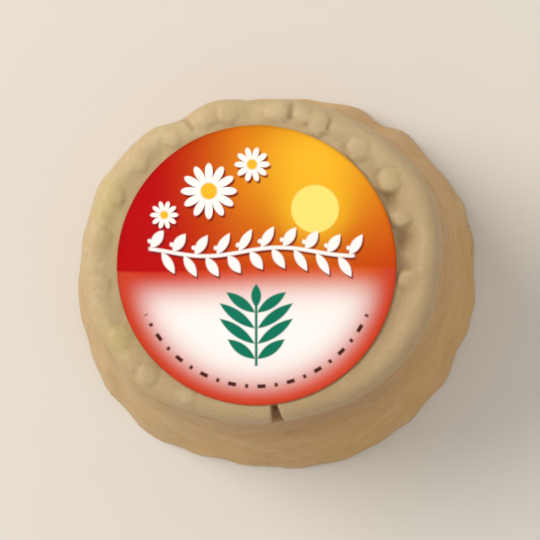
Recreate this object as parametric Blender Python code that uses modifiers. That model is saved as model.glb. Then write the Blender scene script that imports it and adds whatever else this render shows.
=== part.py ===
"""A small fresh goat cheese, a squeezed truncated cone with a knobbly rim, and its round paper label.

The cheese is a turned body whose points are then moved: to oval sections that lean back a little,
a rim with a trough inside it, a crease under the rim, a faint ledge halfway up and a lumpy skirt.
Knobs, flakes and crumbs are joined to it and the cracks in its rim are cut, by Booleans.
The base lies flat on z = 0, and the origin is at the middle of its box.
"""

import math

import bmesh
import bpy
import numpy as np
from mathutils import Matrix, Vector

MM = 0.001

# Driving dimensions of the cheese
BASE_WIDTH = 53.2 * MM
BASE_DEPTH = 49.6 * MM
TOP_WIDTH = 42.8 * MM
TOP_DEPTH = 38.5 * MM
HEIGHT = 36.0 * MM
LEAN = Vector((-0.3, 1.4)) * MM  # how far the top's middle lies from the base's
FLARE = 1.4  # 1 is a straight side, more is steeper towards the top

# The rim: an arc from the side up to the crest, then a fall to the flat top
RIM_ARC_WIDTH = 1.8 * MM
RIM_ARC_HEIGHT = 2.0 * MM
RIM_RISE = 0.55 * MM  # the crest above the flat top
RIM_FALL = 1.6 * MM  # how wide the inner slope is
RIM_KEPT_WIDTH = 6.0 * MM  # inside the crest, where the round rim passes to the oval top
SIDE_TOP = HEIGHT - RIM_ARC_HEIGHT
MEAN_BASE = (BASE_WIDTH + BASE_DEPTH) / 4
MEAN_TOP = (TOP_WIDTH + TOP_DEPTH) / 4

# Where the rim's outline leaves the oval: angle and half-width in degrees, amount
RIM_BUMPS = (
    (25, 12, 0.6 * MM),
    (45, 8, 0.2 * MM),
    (91, 6, -0.45 * MM),
    (106, 6, 0.25 * MM),
    (120, 6, -0.55 * MM),
    (132, 6, 0.2 * MM),
    (155, 5, 0.25 * MM),
    (170, 14, -0.3 * MM),
    (229, 13, 0.5 * MM),
    (288, 16, -0.33 * MM),
    (354, 10, -0.25 * MM),
)

# The label
LABEL_DIAMETER = 32.8 * MM
LABEL_THICKNESS = 0.22 * MM
LABEL_OFFSET = Vector((-0.4, -0.6)) * MM  # from the top's middle
CLEARANCE = 0.3 * MM

# Knobs left by the mould's drain holes, round the label: angle in degrees, ring radius, radius, rise
KNOBS = (
    (18.0, 17.7 * MM, 1.10 * MM, 0.32 * MM),
    (32.3, 18.35 * MM, 1.28 * MM, 0.36 * MM),
    (48.3, 18.0 * MM, 1.30 * MM, 0.29 * MM),
    (66.0, 18.2 * MM, 1.25 * MM, 0.24 * MM),
    (73.0, 18.4 * MM, 1.10 * MM, 0.21 * MM),
    (82.3, 18.3 * MM, 1.30 * MM, 0.22 * MM),
    (100.5, 18.2 * MM, 1.20 * MM, 0.16 * MM),
    (108.5, 18.3 * MM, 1.10 * MM, 0.14 * MM),
    (123.5, 17.9 * MM, 0.95 * MM, 0.18 * MM),
    (139.0, 18.6 * MM, 1.30 * MM, 0.14 * MM),
    (154.0, 18.8 * MM, 1.30 * MM, 0.22 * MM),
    (170.0, 18.7 * MM, 1.25 * MM, 0.14 * MM),
    (188.0, 18.6 * MM, 1.30 * MM, 0.14 * MM),
    (208.5, 18.2 * MM, 1.30 * MM, 0.22 * MM),
    (225.0, 18.1 * MM, 1.30 * MM, 0.26 * MM),
    (242.0, 17.4 * MM, 0.95 * MM, 0.14 * MM),
    (354.5, 17.9 * MM, 1.15 * MM, 0.22 * MM),
)
KNOB_ROOT = 1.0 * MM  # how far it reaches below the smooth top
KNOB_SQUARENESS = 0.5  # 1 is a ball, less has a flatter top and steeper sides
KNOB_TILT = 0.1

# The trough between label and rim, and its deep pits: angle in degrees, ring radius, depth, radius
TROUGH_RING = 17.5 * MM
TROUGH_WIDTH = 0.9 * MM
TROUGH_DEPTH = 0.5 * MM
TROUGH_DEEPEST = math.radians(20)
TROUGH_LEAST = 0.1  # of its full depth, on the far side
PITS = (
    (10.0, 17.6 * MM, 1.0 * MM, 1.5 * MM),
    (26.8, 17.3 * MM, 0.8 * MM, 1.1 * MM),
    (0.0, 17.3 * MM, 0.4 * MM, 1.0 * MM),
    (91.5, 18.0 * MM, 0.35 * MM, 1.2 * MM),
    (131.5, 17.5 * MM, 0.3 * MM, 0.9 * MM),
    (162.5, 17.6 * MM, 0.3 * MM, 1.0 * MM),
    (202.5, 17.3 * MM, 0.4 * MM, 0.8 * MM),
)

# Cracks across the rim: angle in degrees, inner and outer ring radius, width, depth
CRACKS = (
    (277.4, 16.2 * MM, 19.6 * MM, 1.5 * MM, 2.8 * MM),
    (115.5, 17.0 * MM, 20.0 * MM, 1.0 * MM, 1.2 * MM),
    (76.8, 17.2 * MM, 19.8 * MM, 0.9 * MM, 1.0 * MM),
)
CRACK_INNER_SHARE = 0.45  # its width and depth at the inner end, against the outer
CRACK_TAPER = 0.75  # how much of its width is gone at the bottom
CRACK_ABOVE = 1.6 * MM  # how far its cutter stands above the rim

# Bulges and hollows of the side: angle and half-width in degrees, height, half-height, amount
DENTS = (
    (3, 9, 4 * MM, 12 * MM, -0.6 * MM),
    (15, 9, 4 * MM, 12 * MM, 0.2 * MM),
    (27, 8, 4 * MM, 12 * MM, 0.2 * MM),
    (36, 4, 4 * MM, 12 * MM, 0.2 * MM),
    (42, 4, 4 * MM, 12 * MM, -0.2 * MM),
    (49, 5, 4 * MM, 12 * MM, 0.55 * MM),
    (57, 5, 4 * MM, 12 * MM, -0.35 * MM),
    (66, 6, 4 * MM, 12 * MM, 0.55 * MM),
    (78, 7, 4 * MM, 12 * MM, -0.35 * MM),
    (89, 7, 4 * MM, 12 * MM, -0.35 * MM),
    (100, 9, 4 * MM, 12 * MM, -0.5 * MM),
    (112, 9, 4 * MM, 12 * MM, 0.4 * MM),
    (118, 9, 12 * MM, 10 * MM, -0.4 * MM),
    (150, 7, 20 * MM, 9 * MM, 0.3 * MM),
    (160, 9, 4 * MM, 12 * MM, 0.15 * MM),
    (172, 9, 4 * MM, 12 * MM, -0.3 * MM),
    (196, 9, 4 * MM, 12 * MM, -0.2 * MM),
    (208, 9, 4 * MM, 12 * MM, 0.5 * MM),
    (220, 9, 4 * MM, 12 * MM, 0.35 * MM),
    (221, 16, 27 * MM, 6 * MM, 0.5 * MM),
    (232, 9, 4 * MM, 12 * MM, 0.85 * MM),
    (244, 9, 4 * MM, 12 * MM, -0.2 * MM),
    (256, 9, 4 * MM, 12 * MM, -0.2 * MM),
    (268, 9, 4 * MM, 12 * MM, -0.4 * MM),
    (280, 9, 4 * MM, 12 * MM, 0.15 * MM),
    (286, 20, 22 * MM, 9 * MM, -0.9 * MM),
    (320, 9, 4 * MM, 12 * MM, -0.3 * MM),
    (330, 8, 20 * MM, 9 * MM, -0.3 * MM),
    (340, 9, 4 * MM, 12 * MM, -0.8 * MM),
)

# The crease under the rim and the faint ledge halfway up
CREASE_DEPTH = 0.6 * MM
CREASE_HEIGHT = 32.6 * MM
CREASE_HALF = 0.7 * MM
CREASE_DEEPEST = math.radians(245)
LEDGE_HEIGHT = 20.5 * MM
LEDGE_SWING = 1.2 * MM
LEDGE_DEPTH = 0.15 * MM
LEDGE_HALF = 1.0 * MM

# The grain: lump size and how far it stands out, above the ledge and below it
GRAIN_SIZE = 5.0 * MM
GRAIN_UPPER = 0.08 * MM
GRAIN_SKIRT = 0.1 * MM
GRAIN_WAVES = 30
GRAIN_SEED = 7

# Flakes that stand out of the side: angle in degrees, height, length, half-width
FLAKES = (
    (178.3, 14.5 * MM, 1.5 * MM, 1.6 * MM),
    (188.0, 13.0 * MM, 0.9 * MM, 1.1 * MM),
    (243.0, 9.0 * MM, 0.7 * MM, 1.2 * MM),
    (312.0, 12.0 * MM, 0.7 * MM, 1.3 * MM),
    (20.0, 5.0 * MM, 0.7 * MM, 1.4 * MM),
    (128.0, 7.0 * MM, 0.8 * MM, 1.3 * MM),
)
FLAKE_ROOT = 1.0 * MM
FLAKE_TIP = 0.3  # its width at the point, against its root
FLAKE_THINNESS = 0.5  # its height is this share of its width

# Crumbs along the base, every third one at the front, in degrees
CRUMBS = 22
CRUMB_FRONT = (255, 290)
CRUMB_RADIUS = (0.45 * MM, 0.8 * MM)
CRUMB_UNEVENNESS = 0.15
CRUMB_SEED = 11

# How finely the surfaces are divided
COLUMNS = 96
SIDE_ROWS = 22
ARC_ROWS = 5
INNER_ROWS = (2.6, 3.4, 4.2, 5.2, 7.5, 12.0)  # millimetres in from the outline
BASE_ROUNDING = 0.7 * MM
LABEL_COLUMNS = 48
LABEL_RINGS = (0.3, 0.6, 0.8, 0.93, 1.0)


def clear_scene():
    for obj in list(bpy.data.objects):
        bpy.data.objects.remove(obj, do_unlink=True)


def new_collection(name):
    collection = bpy.data.collections.new(name)
    bpy.context.scene.collection.children.link(collection)
    return collection


def material(name, colour, roughness):
    """A Principled material of one colour, with no metal in it."""
    made = bpy.data.materials.new(name)
    made.use_nodes = True
    shader = made.node_tree.nodes["Principled BSDF"]
    shader.inputs["Base Color"].default_value = (*colour, 1.0)
    shader.inputs["Roughness"].default_value = roughness
    shader.inputs["Metallic"].default_value = 0.0
    return made


def rind_material():
    return material("pale_rind", (0.74, 0.62, 0.44), 0.6)


def paper_material():
    return material("label_paper", (0.80, 0.22, 0.06), 0.35)


# The form of the cheese, as functions of arrays of angles, heights and places


def bell(value, middle, half):
    return np.exp(-(((value - middle) / half) ** 2))


def angle_from(angle, degrees):
    """The angle from a direction, in degrees, between -180 and 180."""
    return (np.degrees(angle) - degrees + 180) % 360 - 180


def oval(angle, half_width, half_depth):
    """The radius of an ellipse in each direction."""
    return 1 / np.hypot(np.cos(angle) / half_width, np.sin(angle) / half_depth)


def grain(x, y, z):
    """Smooth lumps about GRAIN_SIZE across: a sum of sine waves in seeded directions, of uneven length."""
    random = np.random.default_rng(GRAIN_SEED)
    total = np.zeros_like(x)
    for _ in range(GRAIN_WAVES):
        way = random.normal(size=3)
        way *= 2 * math.pi / (GRAIN_SIZE * random.uniform(0.7, 1.5) * np.linalg.norm(way))
        total += np.sin(way[0] * x + way[1] * y + way[2] * z + random.uniform(0, 2 * math.pi))
    return total / math.sqrt(GRAIN_WAVES / 2)


def flare(height):
    """How far the side has passed from the base's section to the top's, faster near the base."""
    return 1 - (1 - np.clip(height / SIDE_TOP, 0, 1)) ** FLARE


def side_radius(angle, height):
    """The plain side: the base oval passing to the rim's outline."""
    base = oval(angle, BASE_WIDTH / 2, BASE_DEPTH / 2)
    return base + (rim_outline(angle) - base) * flare(height)


def side_relief(angle, height):
    """What the side stands out from its plain form by: dents, the crease, the ledge and the grain."""
    out = np.zeros_like(angle)
    for degrees, half_angle, middle, half_height, amount in DENTS:
        out += amount * bell(angle_from(angle, degrees), 0, half_angle) * bell(height, middle, half_height)
    share = 0.5 + 0.5 * np.cos(angle - CREASE_DEEPEST)
    out -= CREASE_DEPTH * share * bell(height, CREASE_HEIGHT, CREASE_HALF)
    ledge = LEDGE_HEIGHT + LEDGE_SWING * np.sin(2 * angle + 0.6) + 0.5 * LEDGE_SWING * np.sin(5 * angle)
    out -= LEDGE_DEPTH * bell(height, ledge, LEDGE_HALF)
    out += 0.5 * LEDGE_DEPTH * bell(height, ledge - 3 * LEDGE_HALF, 2.2 * LEDGE_HALF)
    radius = side_radius(angle, height)
    lumps = grain(radius * np.cos(angle), radius * np.sin(angle), height)
    skirt = 1 / (1 + np.exp((height - ledge) / LEDGE_HALF))
    out += (GRAIN_UPPER + (GRAIN_SKIRT - GRAIN_UPPER) * skirt) * lumps
    return out


def section_middle(height):
    share = np.clip(height / HEIGHT, 0, 1)
    return LEAN.x * share, LEAN.y * share


def rim_outline(angle):
    """The rim's outline in each direction from the top's middle: an oval with its bumps."""
    out = oval(angle, TOP_WIDTH / 2, TOP_DEPTH / 2)
    for degrees, half_angle, amount in RIM_BUMPS:
        out = out + amount * bell(angle_from(angle, degrees), 0, half_angle)
    return out


def smooth_top(x, y):
    """The top's height without its trough and pits: the rim's arc, its crest and the flat middle."""
    middle_x, middle_y = section_middle(HEIGHT)
    inward = rim_outline(np.arctan2(y - middle_y, x - middle_x)) - np.hypot(x - middle_x, y - middle_y)
    along = np.clip(1 - inward / RIM_ARC_WIDTH, 0, 1)
    arc = SIDE_TOP + RIM_ARC_HEIGHT * np.sqrt(1 - along**2)
    beyond = np.clip(inward - RIM_ARC_WIDTH, 0, None) / RIM_FALL
    waves = 0.10 * MM * np.sin(x / (5.1 * MM) + 0.7) * np.cos(y / (6.3 * MM) - 0.4)
    flat = np.exp(-(beyond**2))
    return arc - RIM_RISE * (1 - flat) + waves * (1 - flat)


def top_relief(x, y):
    """How far the trough and its pits go below the smooth top."""
    from_label_x = x - LEAN.x - LABEL_OFFSET.x
    from_label_y = y - LEAN.y - LABEL_OFFSET.y
    away = np.hypot(from_label_x, from_label_y)
    around = np.arctan2(from_label_y, from_label_x)
    share = TROUGH_LEAST + (1 - TROUGH_LEAST) * (0.5 + 0.5 * np.cos(around - TROUGH_DEEPEST)) ** 2
    down = TROUGH_DEPTH * bell(away, TROUGH_RING, TROUGH_WIDTH) * share
    for degrees, ring, depth, radius in PITS:
        pit_x = ring * math.cos(math.radians(degrees))
        pit_y = ring * math.sin(math.radians(degrees))
        off = np.hypot(from_label_x - pit_x, from_label_y - pit_y)
        down += depth * bell(off, 0, radius)
    return -down


# The cheese


def turned_profile():
    """Radius and height from the top's middle, over the rim, down the side and along the base."""
    points = [(0.0, HEIGHT)]
    points += [(MEAN_TOP - inward * MM, HEIGHT) for inward in reversed(INNER_ROWS)]
    for row in range(ARC_ROWS, 0, -1):
        turn = row / ARC_ROWS * math.pi / 2
        radius = MEAN_TOP - RIM_ARC_WIDTH * (1 - math.cos(turn))
        points.append((radius, SIDE_TOP + RIM_ARC_HEIGHT * math.sin(turn)))
    for row in range(SIDE_ROWS + 1):
        height = SIDE_TOP + (BASE_ROUNDING - SIDE_TOP) * row / SIDE_ROWS
        points.append((MEAN_BASE + (MEAN_TOP - MEAN_BASE) * float(flare(height)), height))
    points.append((MEAN_BASE - 0.3 * BASE_ROUNDING, 0.3 * BASE_ROUNDING))
    points.append((MEAN_BASE - BASE_ROUNDING, 0.0))
    points.append((0.6 * MEAN_BASE, 0.0))
    points.append((0.0, 0.0))
    return points


def turned(name, points, steps, collection):
    """A profile turned once round Z, as a mesh object."""
    mesh = bpy.data.meshes.new(name + "_profile")
    corners = [(radius, 0.0, height) for radius, height in points]
    mesh.from_pydata(corners, [(i, i + 1) for i in range(len(corners) - 1)], [])
    guide = bpy.data.objects.new(name + "_profile", mesh)
    collection.objects.link(guide)
    screw = guide.modifiers.new("turn", "SCREW")
    screw.steps = screw.render_steps = steps
    screw.use_merge_vertices = True
    screw.merge_threshold = 0.01 * MM
    bpy.context.view_layer.update()
    graph = bpy.context.evaluated_depsgraph_get()
    made = bpy.data.meshes.new_from_object(guide.evaluated_get(graph))
    made.name = name
    bpy.data.objects.remove(guide, do_unlink=True)
    obj = bpy.data.objects.new(name, made)
    collection.objects.link(obj)
    return obj


def points_of(mesh):
    flat = np.empty(len(mesh.vertices) * 3)
    mesh.vertices.foreach_get("co", flat)
    return flat.reshape(-1, 3)


def set_points(mesh, points):
    mesh.vertices.foreach_set("co", points.ravel())
    mesh.update()


def top_places(angle, radius):
    """Where the turned top's points go: its rim keeps its width, and the rest is stretched to the oval."""
    rim = rim_outline(angle)
    inward = MEAN_TOP - radius
    stretched = np.clip((inward - RIM_ARC_WIDTH) / RIM_KEPT_WIDTH, 0, 1)
    reach = (rim - inward) * (1 - stretched) + rim * radius / MEAN_TOP * stretched
    middle_x, middle_y = section_middle(HEIGHT)
    x = middle_x + reach * np.cos(angle)
    y = middle_y + reach * np.sin(angle)
    z = smooth_top(x, y) + np.clip(inward / RIM_ARC_WIDTH, 0, 1) * top_relief(x, y)
    return np.column_stack((x, y, z))


def side_places(angle, radius, height):
    """Where the turned side's and base's points go. The relief dies away just under the rim."""
    under_rim = np.clip((height - SIDE_TOP) / RIM_ARC_HEIGHT + 1, 0, 1)
    out = side_radius(angle, height) + side_relief(angle, height)
    out = out * (1 - under_rim) + rim_outline(angle) * under_rim
    reach = out * radius / (MEAN_BASE + (MEAN_TOP - MEAN_BASE) * flare(height))
    middle_x, middle_y = section_middle(height)
    return np.column_stack((middle_x + reach * np.cos(angle), middle_y + reach * np.sin(angle), height))


def weather(points):
    """Moves the turned body's points to the real cheese's form."""
    angle = np.arctan2(points[:, 1], points[:, 0])
    radius = np.hypot(points[:, 0], points[:, 1])
    height = points[:, 2]
    on_top = height > SIDE_TOP + 0.01 * MM
    return np.where(on_top[:, None], top_places(angle, radius), side_places(angle, radius, height))


def label_middle():
    return LEAN + LABEL_OFFSET


def on_ring(degrees, radius):
    """A place on the top, round the label's middle, at the smooth top's height."""
    middle = label_middle()
    x = middle.x + radius * math.cos(math.radians(degrees))
    y = middle.y + radius * math.sin(math.radians(degrees))
    return Vector((x, y, float(smooth_top(x, y))))


def on_side(degrees, height):
    """A place on the side, and the way out of it."""
    angle = math.radians(degrees)
    radius = float(side_radius(angle, height) + side_relief(angle, height))
    out = Vector((math.cos(angle), math.sin(angle), 0.0))
    return Vector((*section_middle(height), height)) + radius * out, out


def object_from(bm, name, collection):
    mesh = bpy.data.meshes.new(name)
    bm.to_mesh(mesh)
    bm.free()
    obj = bpy.data.objects.new(name, mesh)
    collection.objects.link(obj)
    return obj


def make_knob(number, degrees, ring, radius, rise, collection):
    """A short round peg: a sphere with a flattened top, standing on the rim's inner slope."""
    random = np.random.default_rng(100 + number)
    half_height = (rise + KNOB_ROOT) / 2
    bm = bmesh.new()
    bmesh.ops.create_uvsphere(bm, u_segments=12, v_segments=8, radius=1.0)
    for vert in bm.verts:
        vert.co.z = math.copysign(abs(vert.co.z) ** KNOB_SQUARENESS, vert.co.z)
        vert.co = Vector((vert.co.x * radius, vert.co.y * radius, vert.co.z * half_height))
    knob = object_from(bm, f"knob_{number}", collection)
    knob.location = on_ring(degrees, ring) + Vector((0, 0, rise - half_height))
    tilts = random.uniform(-KNOB_TILT, KNOB_TILT, size=2)
    knob.rotation_euler = (*tilts, random.uniform(0, math.pi))
    return knob


def make_flake(number, degrees, height, length, half_width, collection):
    """A thin torn flake: a squashed cone with its point outwards, its root inside the side."""
    bm = bmesh.new()
    sizes = {"radius1": half_width, "radius2": FLAKE_TIP * half_width, "depth": length + FLAKE_ROOT}
    bmesh.ops.create_cone(bm, cap_ends=True, segments=7, **sizes)
    for vert in bm.verts:
        vert.co.y *= FLAKE_THINNESS
    flake = object_from(bm, f"flake_{number}", collection)
    place, out = on_side(degrees, height)
    across = Vector((-out.y, out.x, 0.0))
    turn = Matrix((across, Vector((0, 0, 1)), across.cross(Vector((0, 0, 1))))).transposed()
    flake.matrix_world = Matrix.Translation(place + out * (length - FLAKE_ROOT) / 2) @ turn.to_4x4()
    return flake


def make_crumb(number, random, collection):
    """A crumb of curd stuck to the base's edge."""
    degrees = random.uniform(0, 360) if number % 3 else random.uniform(*CRUMB_FRONT)
    radius = random.uniform(*CRUMB_RADIUS)
    bm = bmesh.new()
    bmesh.ops.create_icosphere(bm, subdivisions=1, radius=radius)
    for vert in bm.verts:
        vert.co *= 1 + CRUMB_UNEVENNESS * random.uniform(-1, 1)
    crumb = object_from(bm, f"crumb_{number}", collection)
    height = radius * random.uniform(1.3, 2.6)
    place, out = on_side(degrees, height)
    crumb.location = place - out * radius * 0.35
    return crumb


def make_crack_cutter(number, degrees, inner, outer, width, depth, collection):
    """A wedge across the rim, wide at the top and outside, narrow at the bottom and inside."""
    bm = bmesh.new()
    bmesh.ops.create_cube(bm, size=1.0)
    for vert in bm.verts:
        along = vert.co.x + 0.5
        down = 0.5 - vert.co.z
        share = CRACK_INNER_SHARE + (1 - CRACK_INNER_SHARE) * along
        vert.co.x = inner + (outer - inner) * along
        vert.co.y *= width * share * (1 - CRACK_TAPER * down)
        vert.co.z = CRACK_ABOVE - down * (depth * share + CRACK_ABOVE)
    cutter = object_from(bm, f"crack_{number}", collection)
    middle = label_middle()
    cutter.location = (middle.x, middle.y, HEIGHT)
    cutter.rotation_euler = (0, 0, math.radians(degrees))
    cutter.hide_render = True
    cutter.display_type = "WIRE"
    return cutter


def boolean(obj, operation, collection):
    """Joins or cuts obj with everything in the collection, and applies it."""
    modifier = obj.modifiers.new(operation.lower(), "BOOLEAN")
    modifier.operation = operation
    modifier.operand_type = "COLLECTION"
    modifier.collection = collection
    modifier.solver = "EXACT"
    bpy.context.view_layer.update()
    graph = bpy.context.evaluated_depsgraph_get()
    made = bpy.data.meshes.new_from_object(obj.evaluated_get(graph))
    obj.modifiers.clear()
    obj.data = made


def make_cheese(collection, cutters):
    cheese = turned("cheese", turned_profile(), COLUMNS, collection)
    set_points(cheese.data, weather(points_of(cheese.data)))

    lumps = new_collection("cheese_lumps")
    for number, knob in enumerate(KNOBS):
        make_knob(number, *knob, lumps)
    for number, flake in enumerate(FLAKES):
        make_flake(number, *flake, lumps)
    random = np.random.default_rng(CRUMB_SEED)
    for number in range(CRUMBS):
        make_crumb(number, random, lumps)
    boolean(cheese, "UNION", lumps)
    for lump in list(lumps.objects):
        bpy.data.objects.remove(lump, do_unlink=True)
    bpy.data.collections.remove(lumps)

    for number, crack in enumerate(CRACKS):
        make_crack_cutter(number, *crack, cutters)
    boolean(cheese, "DIFFERENCE", cutters)
    cheese.data.name = "cheese"
    cheese.data.materials.clear()
    cheese.data.materials.append(rind_material())
    cheese.data.shade_smooth()
    return cheese


# The label


def make_label(collection):
    """A thin disc laid on the smooth top, CLEARANCE above it, so that it spans the trough."""
    radius = LABEL_DIAMETER / 2
    upper = [(radius * share, LABEL_THICKNESS) for share in (0.0, *LABEL_RINGS)]
    lower = [(ring, 0.0) for ring, _ in reversed(upper)]
    label = turned("label", upper + lower, LABEL_COLUMNS, collection)
    points = points_of(label.data)
    middle = label_middle()
    points[:, 0] += middle.x
    points[:, 1] += middle.y
    points[:, 2] += CLEARANCE + smooth_top(points[:, 0], points[:, 1])
    set_points(label.data, points)
    label.data.materials.append(paper_material())
    label.data.shade_smooth()
    return label


def centre_on_box(cheese, others):
    """Moves everything sideways so that the cheese's box is centred on the origin."""
    points = points_of(cheese.data)
    middle = (points.min(axis=0) + points.max(axis=0)) / 2
    shift = Vector((-middle[0], -middle[1], 0.0))
    for obj in (cheese, *others):
        obj.data.transform(Matrix.Translation(shift))
    return shift


def main():
    clear_scene()
    collection = new_collection("goat_cheese")
    cutters = new_collection("cutters")
    cheese = make_cheese(collection, cutters)
    label = make_label(collection)
    shift = centre_on_box(cheese, [label])
    for cutter in cutters.objects:
        cutter.location += shift


main()
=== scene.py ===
"""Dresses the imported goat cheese, and sets it on a plain stage seen from above.

The body is the CAD cheese's form with its fine surface: knobs, pits and cracks on the rim, curd grain
and torn scales on the side. Crumbs stick to it, and a round printed paper label lies on its top.
Sizes are in metres. Angles are in degrees where a name or a comment says so, else in radians.
"""

import math

import bpy
import numpy as np
from mathutils import Matrix, Vector


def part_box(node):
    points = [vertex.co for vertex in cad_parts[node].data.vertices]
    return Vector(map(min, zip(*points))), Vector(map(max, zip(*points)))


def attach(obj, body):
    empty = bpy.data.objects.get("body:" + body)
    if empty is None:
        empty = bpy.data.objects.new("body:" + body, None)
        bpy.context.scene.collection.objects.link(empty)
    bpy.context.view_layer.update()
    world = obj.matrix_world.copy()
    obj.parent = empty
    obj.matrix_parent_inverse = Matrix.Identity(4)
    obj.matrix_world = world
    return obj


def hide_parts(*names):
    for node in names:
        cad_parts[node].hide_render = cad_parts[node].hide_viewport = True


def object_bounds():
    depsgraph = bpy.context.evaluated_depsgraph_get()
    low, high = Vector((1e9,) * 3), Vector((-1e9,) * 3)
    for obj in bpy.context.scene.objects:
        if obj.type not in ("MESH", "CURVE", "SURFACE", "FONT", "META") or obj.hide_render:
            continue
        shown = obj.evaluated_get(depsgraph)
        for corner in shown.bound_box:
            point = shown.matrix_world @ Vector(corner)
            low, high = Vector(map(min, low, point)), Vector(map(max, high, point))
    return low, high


bl_info = {
    "name": "Goat Cheese",
    "version": (1, 0, 0),
    "blender": (4, 5, 0),
    "location": "3D Viewport > Sidebar > Goat Cheese",
    "description": "Makes a small fresh goat cheese with a knobbly rim and a round paper label",
    "category": "Add Mesh",
}

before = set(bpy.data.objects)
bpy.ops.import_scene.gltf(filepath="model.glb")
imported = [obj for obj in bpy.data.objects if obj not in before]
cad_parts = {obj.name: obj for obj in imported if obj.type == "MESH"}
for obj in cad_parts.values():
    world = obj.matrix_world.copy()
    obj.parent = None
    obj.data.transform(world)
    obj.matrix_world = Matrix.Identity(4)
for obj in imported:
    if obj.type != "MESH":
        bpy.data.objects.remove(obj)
CAD_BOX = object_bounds()
LABEL_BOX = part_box("label")
BODY = "root"

MM = 0.001
ROUND = 2 * math.pi

# Where the rim's outline leaves the oval: angle and half-width in degrees, amount
RIM_BUMPS = (
    (25, 12, 0.6 * MM),
    (45, 8, 0.2 * MM),
    (91, 6, -0.45 * MM),
    (106, 6, 0.25 * MM),
    (120, 6, -0.55 * MM),
    (132, 6, 0.2 * MM),
    (155, 5, 0.25 * MM),
    (170, 14, -0.3 * MM),
    (229, 13, 0.5 * MM),
    (288, 16, -0.33 * MM),
    (354, 10, -0.25 * MM),
)

# Knobs round the label: angle in degrees, distance from the label's middle, radius, rise
KNOBS = (
    (18.0, 17.7 * MM, 1.10 * MM, 0.32 * MM),
    (32.3, 18.35 * MM, 1.28 * MM, 0.36 * MM),
    (48.3, 18.0 * MM, 1.30 * MM, 0.29 * MM),
    (66.0, 18.2 * MM, 1.25 * MM, 0.24 * MM),
    (73.0, 18.4 * MM, 1.10 * MM, 0.21 * MM),
    (82.3, 18.3 * MM, 1.30 * MM, 0.22 * MM),
    (100.5, 18.2 * MM, 1.20 * MM, 0.16 * MM),
    (108.5, 18.3 * MM, 1.10 * MM, 0.14 * MM),
    (123.5, 17.9 * MM, 0.95 * MM, 0.18 * MM),
    (139.0, 18.6 * MM, 1.30 * MM, 0.14 * MM),
    (154.0, 18.8 * MM, 1.30 * MM, 0.22 * MM),
    (170.0, 18.7 * MM, 1.25 * MM, 0.14 * MM),
    (188.0, 18.6 * MM, 1.30 * MM, 0.14 * MM),
    (208.5, 18.2 * MM, 1.30 * MM, 0.22 * MM),
    (225.0, 18.1 * MM, 1.30 * MM, 0.26 * MM),
    (242.0, 17.4 * MM, 0.95 * MM, 0.14 * MM),
    (354.5, 17.9 * MM, 1.15 * MM, 0.22 * MM),
)
# How far a knob tilts, how domed it is, how its outline wobbles, how softly it meets the rim, and the
# groove round it as a share of its rise
KNOB_SEED = 100
KNOB_TILT = 0.1
KNOB_DOME = 0.3
KNOB_WOBBLE = 0.2 * MM
KNOB_WOBBLE_SIZE = 0.9 * MM
KNOB_BLEND = 0.16 * MM
KNOB_GROOVE = 0.35
KNOB_GROOVE_WIDTH = 0.3 * MM

# Pits beside the label: angle in degrees, distance from the label's middle, depth, radius
PITS = (
    (10.0, 17.6 * MM, 1.0 * MM, 1.5 * MM),
    (26.8, 17.3 * MM, 0.8 * MM, 1.1 * MM),
    (0.0, 17.3 * MM, 0.4 * MM, 1.0 * MM),
    (91.5, 18.0 * MM, 0.35 * MM, 1.2 * MM),
    (131.5, 17.5 * MM, 0.3 * MM, 0.9 * MM),
    (162.5, 17.6 * MM, 0.3 * MM, 1.0 * MM),
    (202.5, 17.3 * MM, 0.4 * MM, 0.8 * MM),
)

# Cracks across the rim: angle in degrees, inner and outer distance, width and depth at the outer end
CRACKS = (
    (277.4, 15.9 * MM, 19.0 * MM, 1.7 * MM, 1.2 * MM),
    (115.5, 17.0 * MM, 19.8 * MM, 0.8 * MM, 0.3 * MM),
    (76.8, 17.2 * MM, 19.4 * MM, 0.7 * MM, 0.25 * MM),
    (62.5, 17.6 * MM, 19.2 * MM, 0.7 * MM, 0.2 * MM),
    (221.0, 17.2 * MM, 19.2 * MM, 0.7 * MM, 0.15 * MM),
)
# How a crack leans and wavers, how far below the side's top it fades, and from where on it is steep
CRACK_LEAN = 0.12
CRACK_WAVER = 0.08 * MM
CRACK_WAVE_LENGTH = 0.7 * MM
CRACK_BELOW = 2.2 * MM
CRACK_FADE = 1.5 * MM
DEEP_CRACK = 1 * MM

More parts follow.
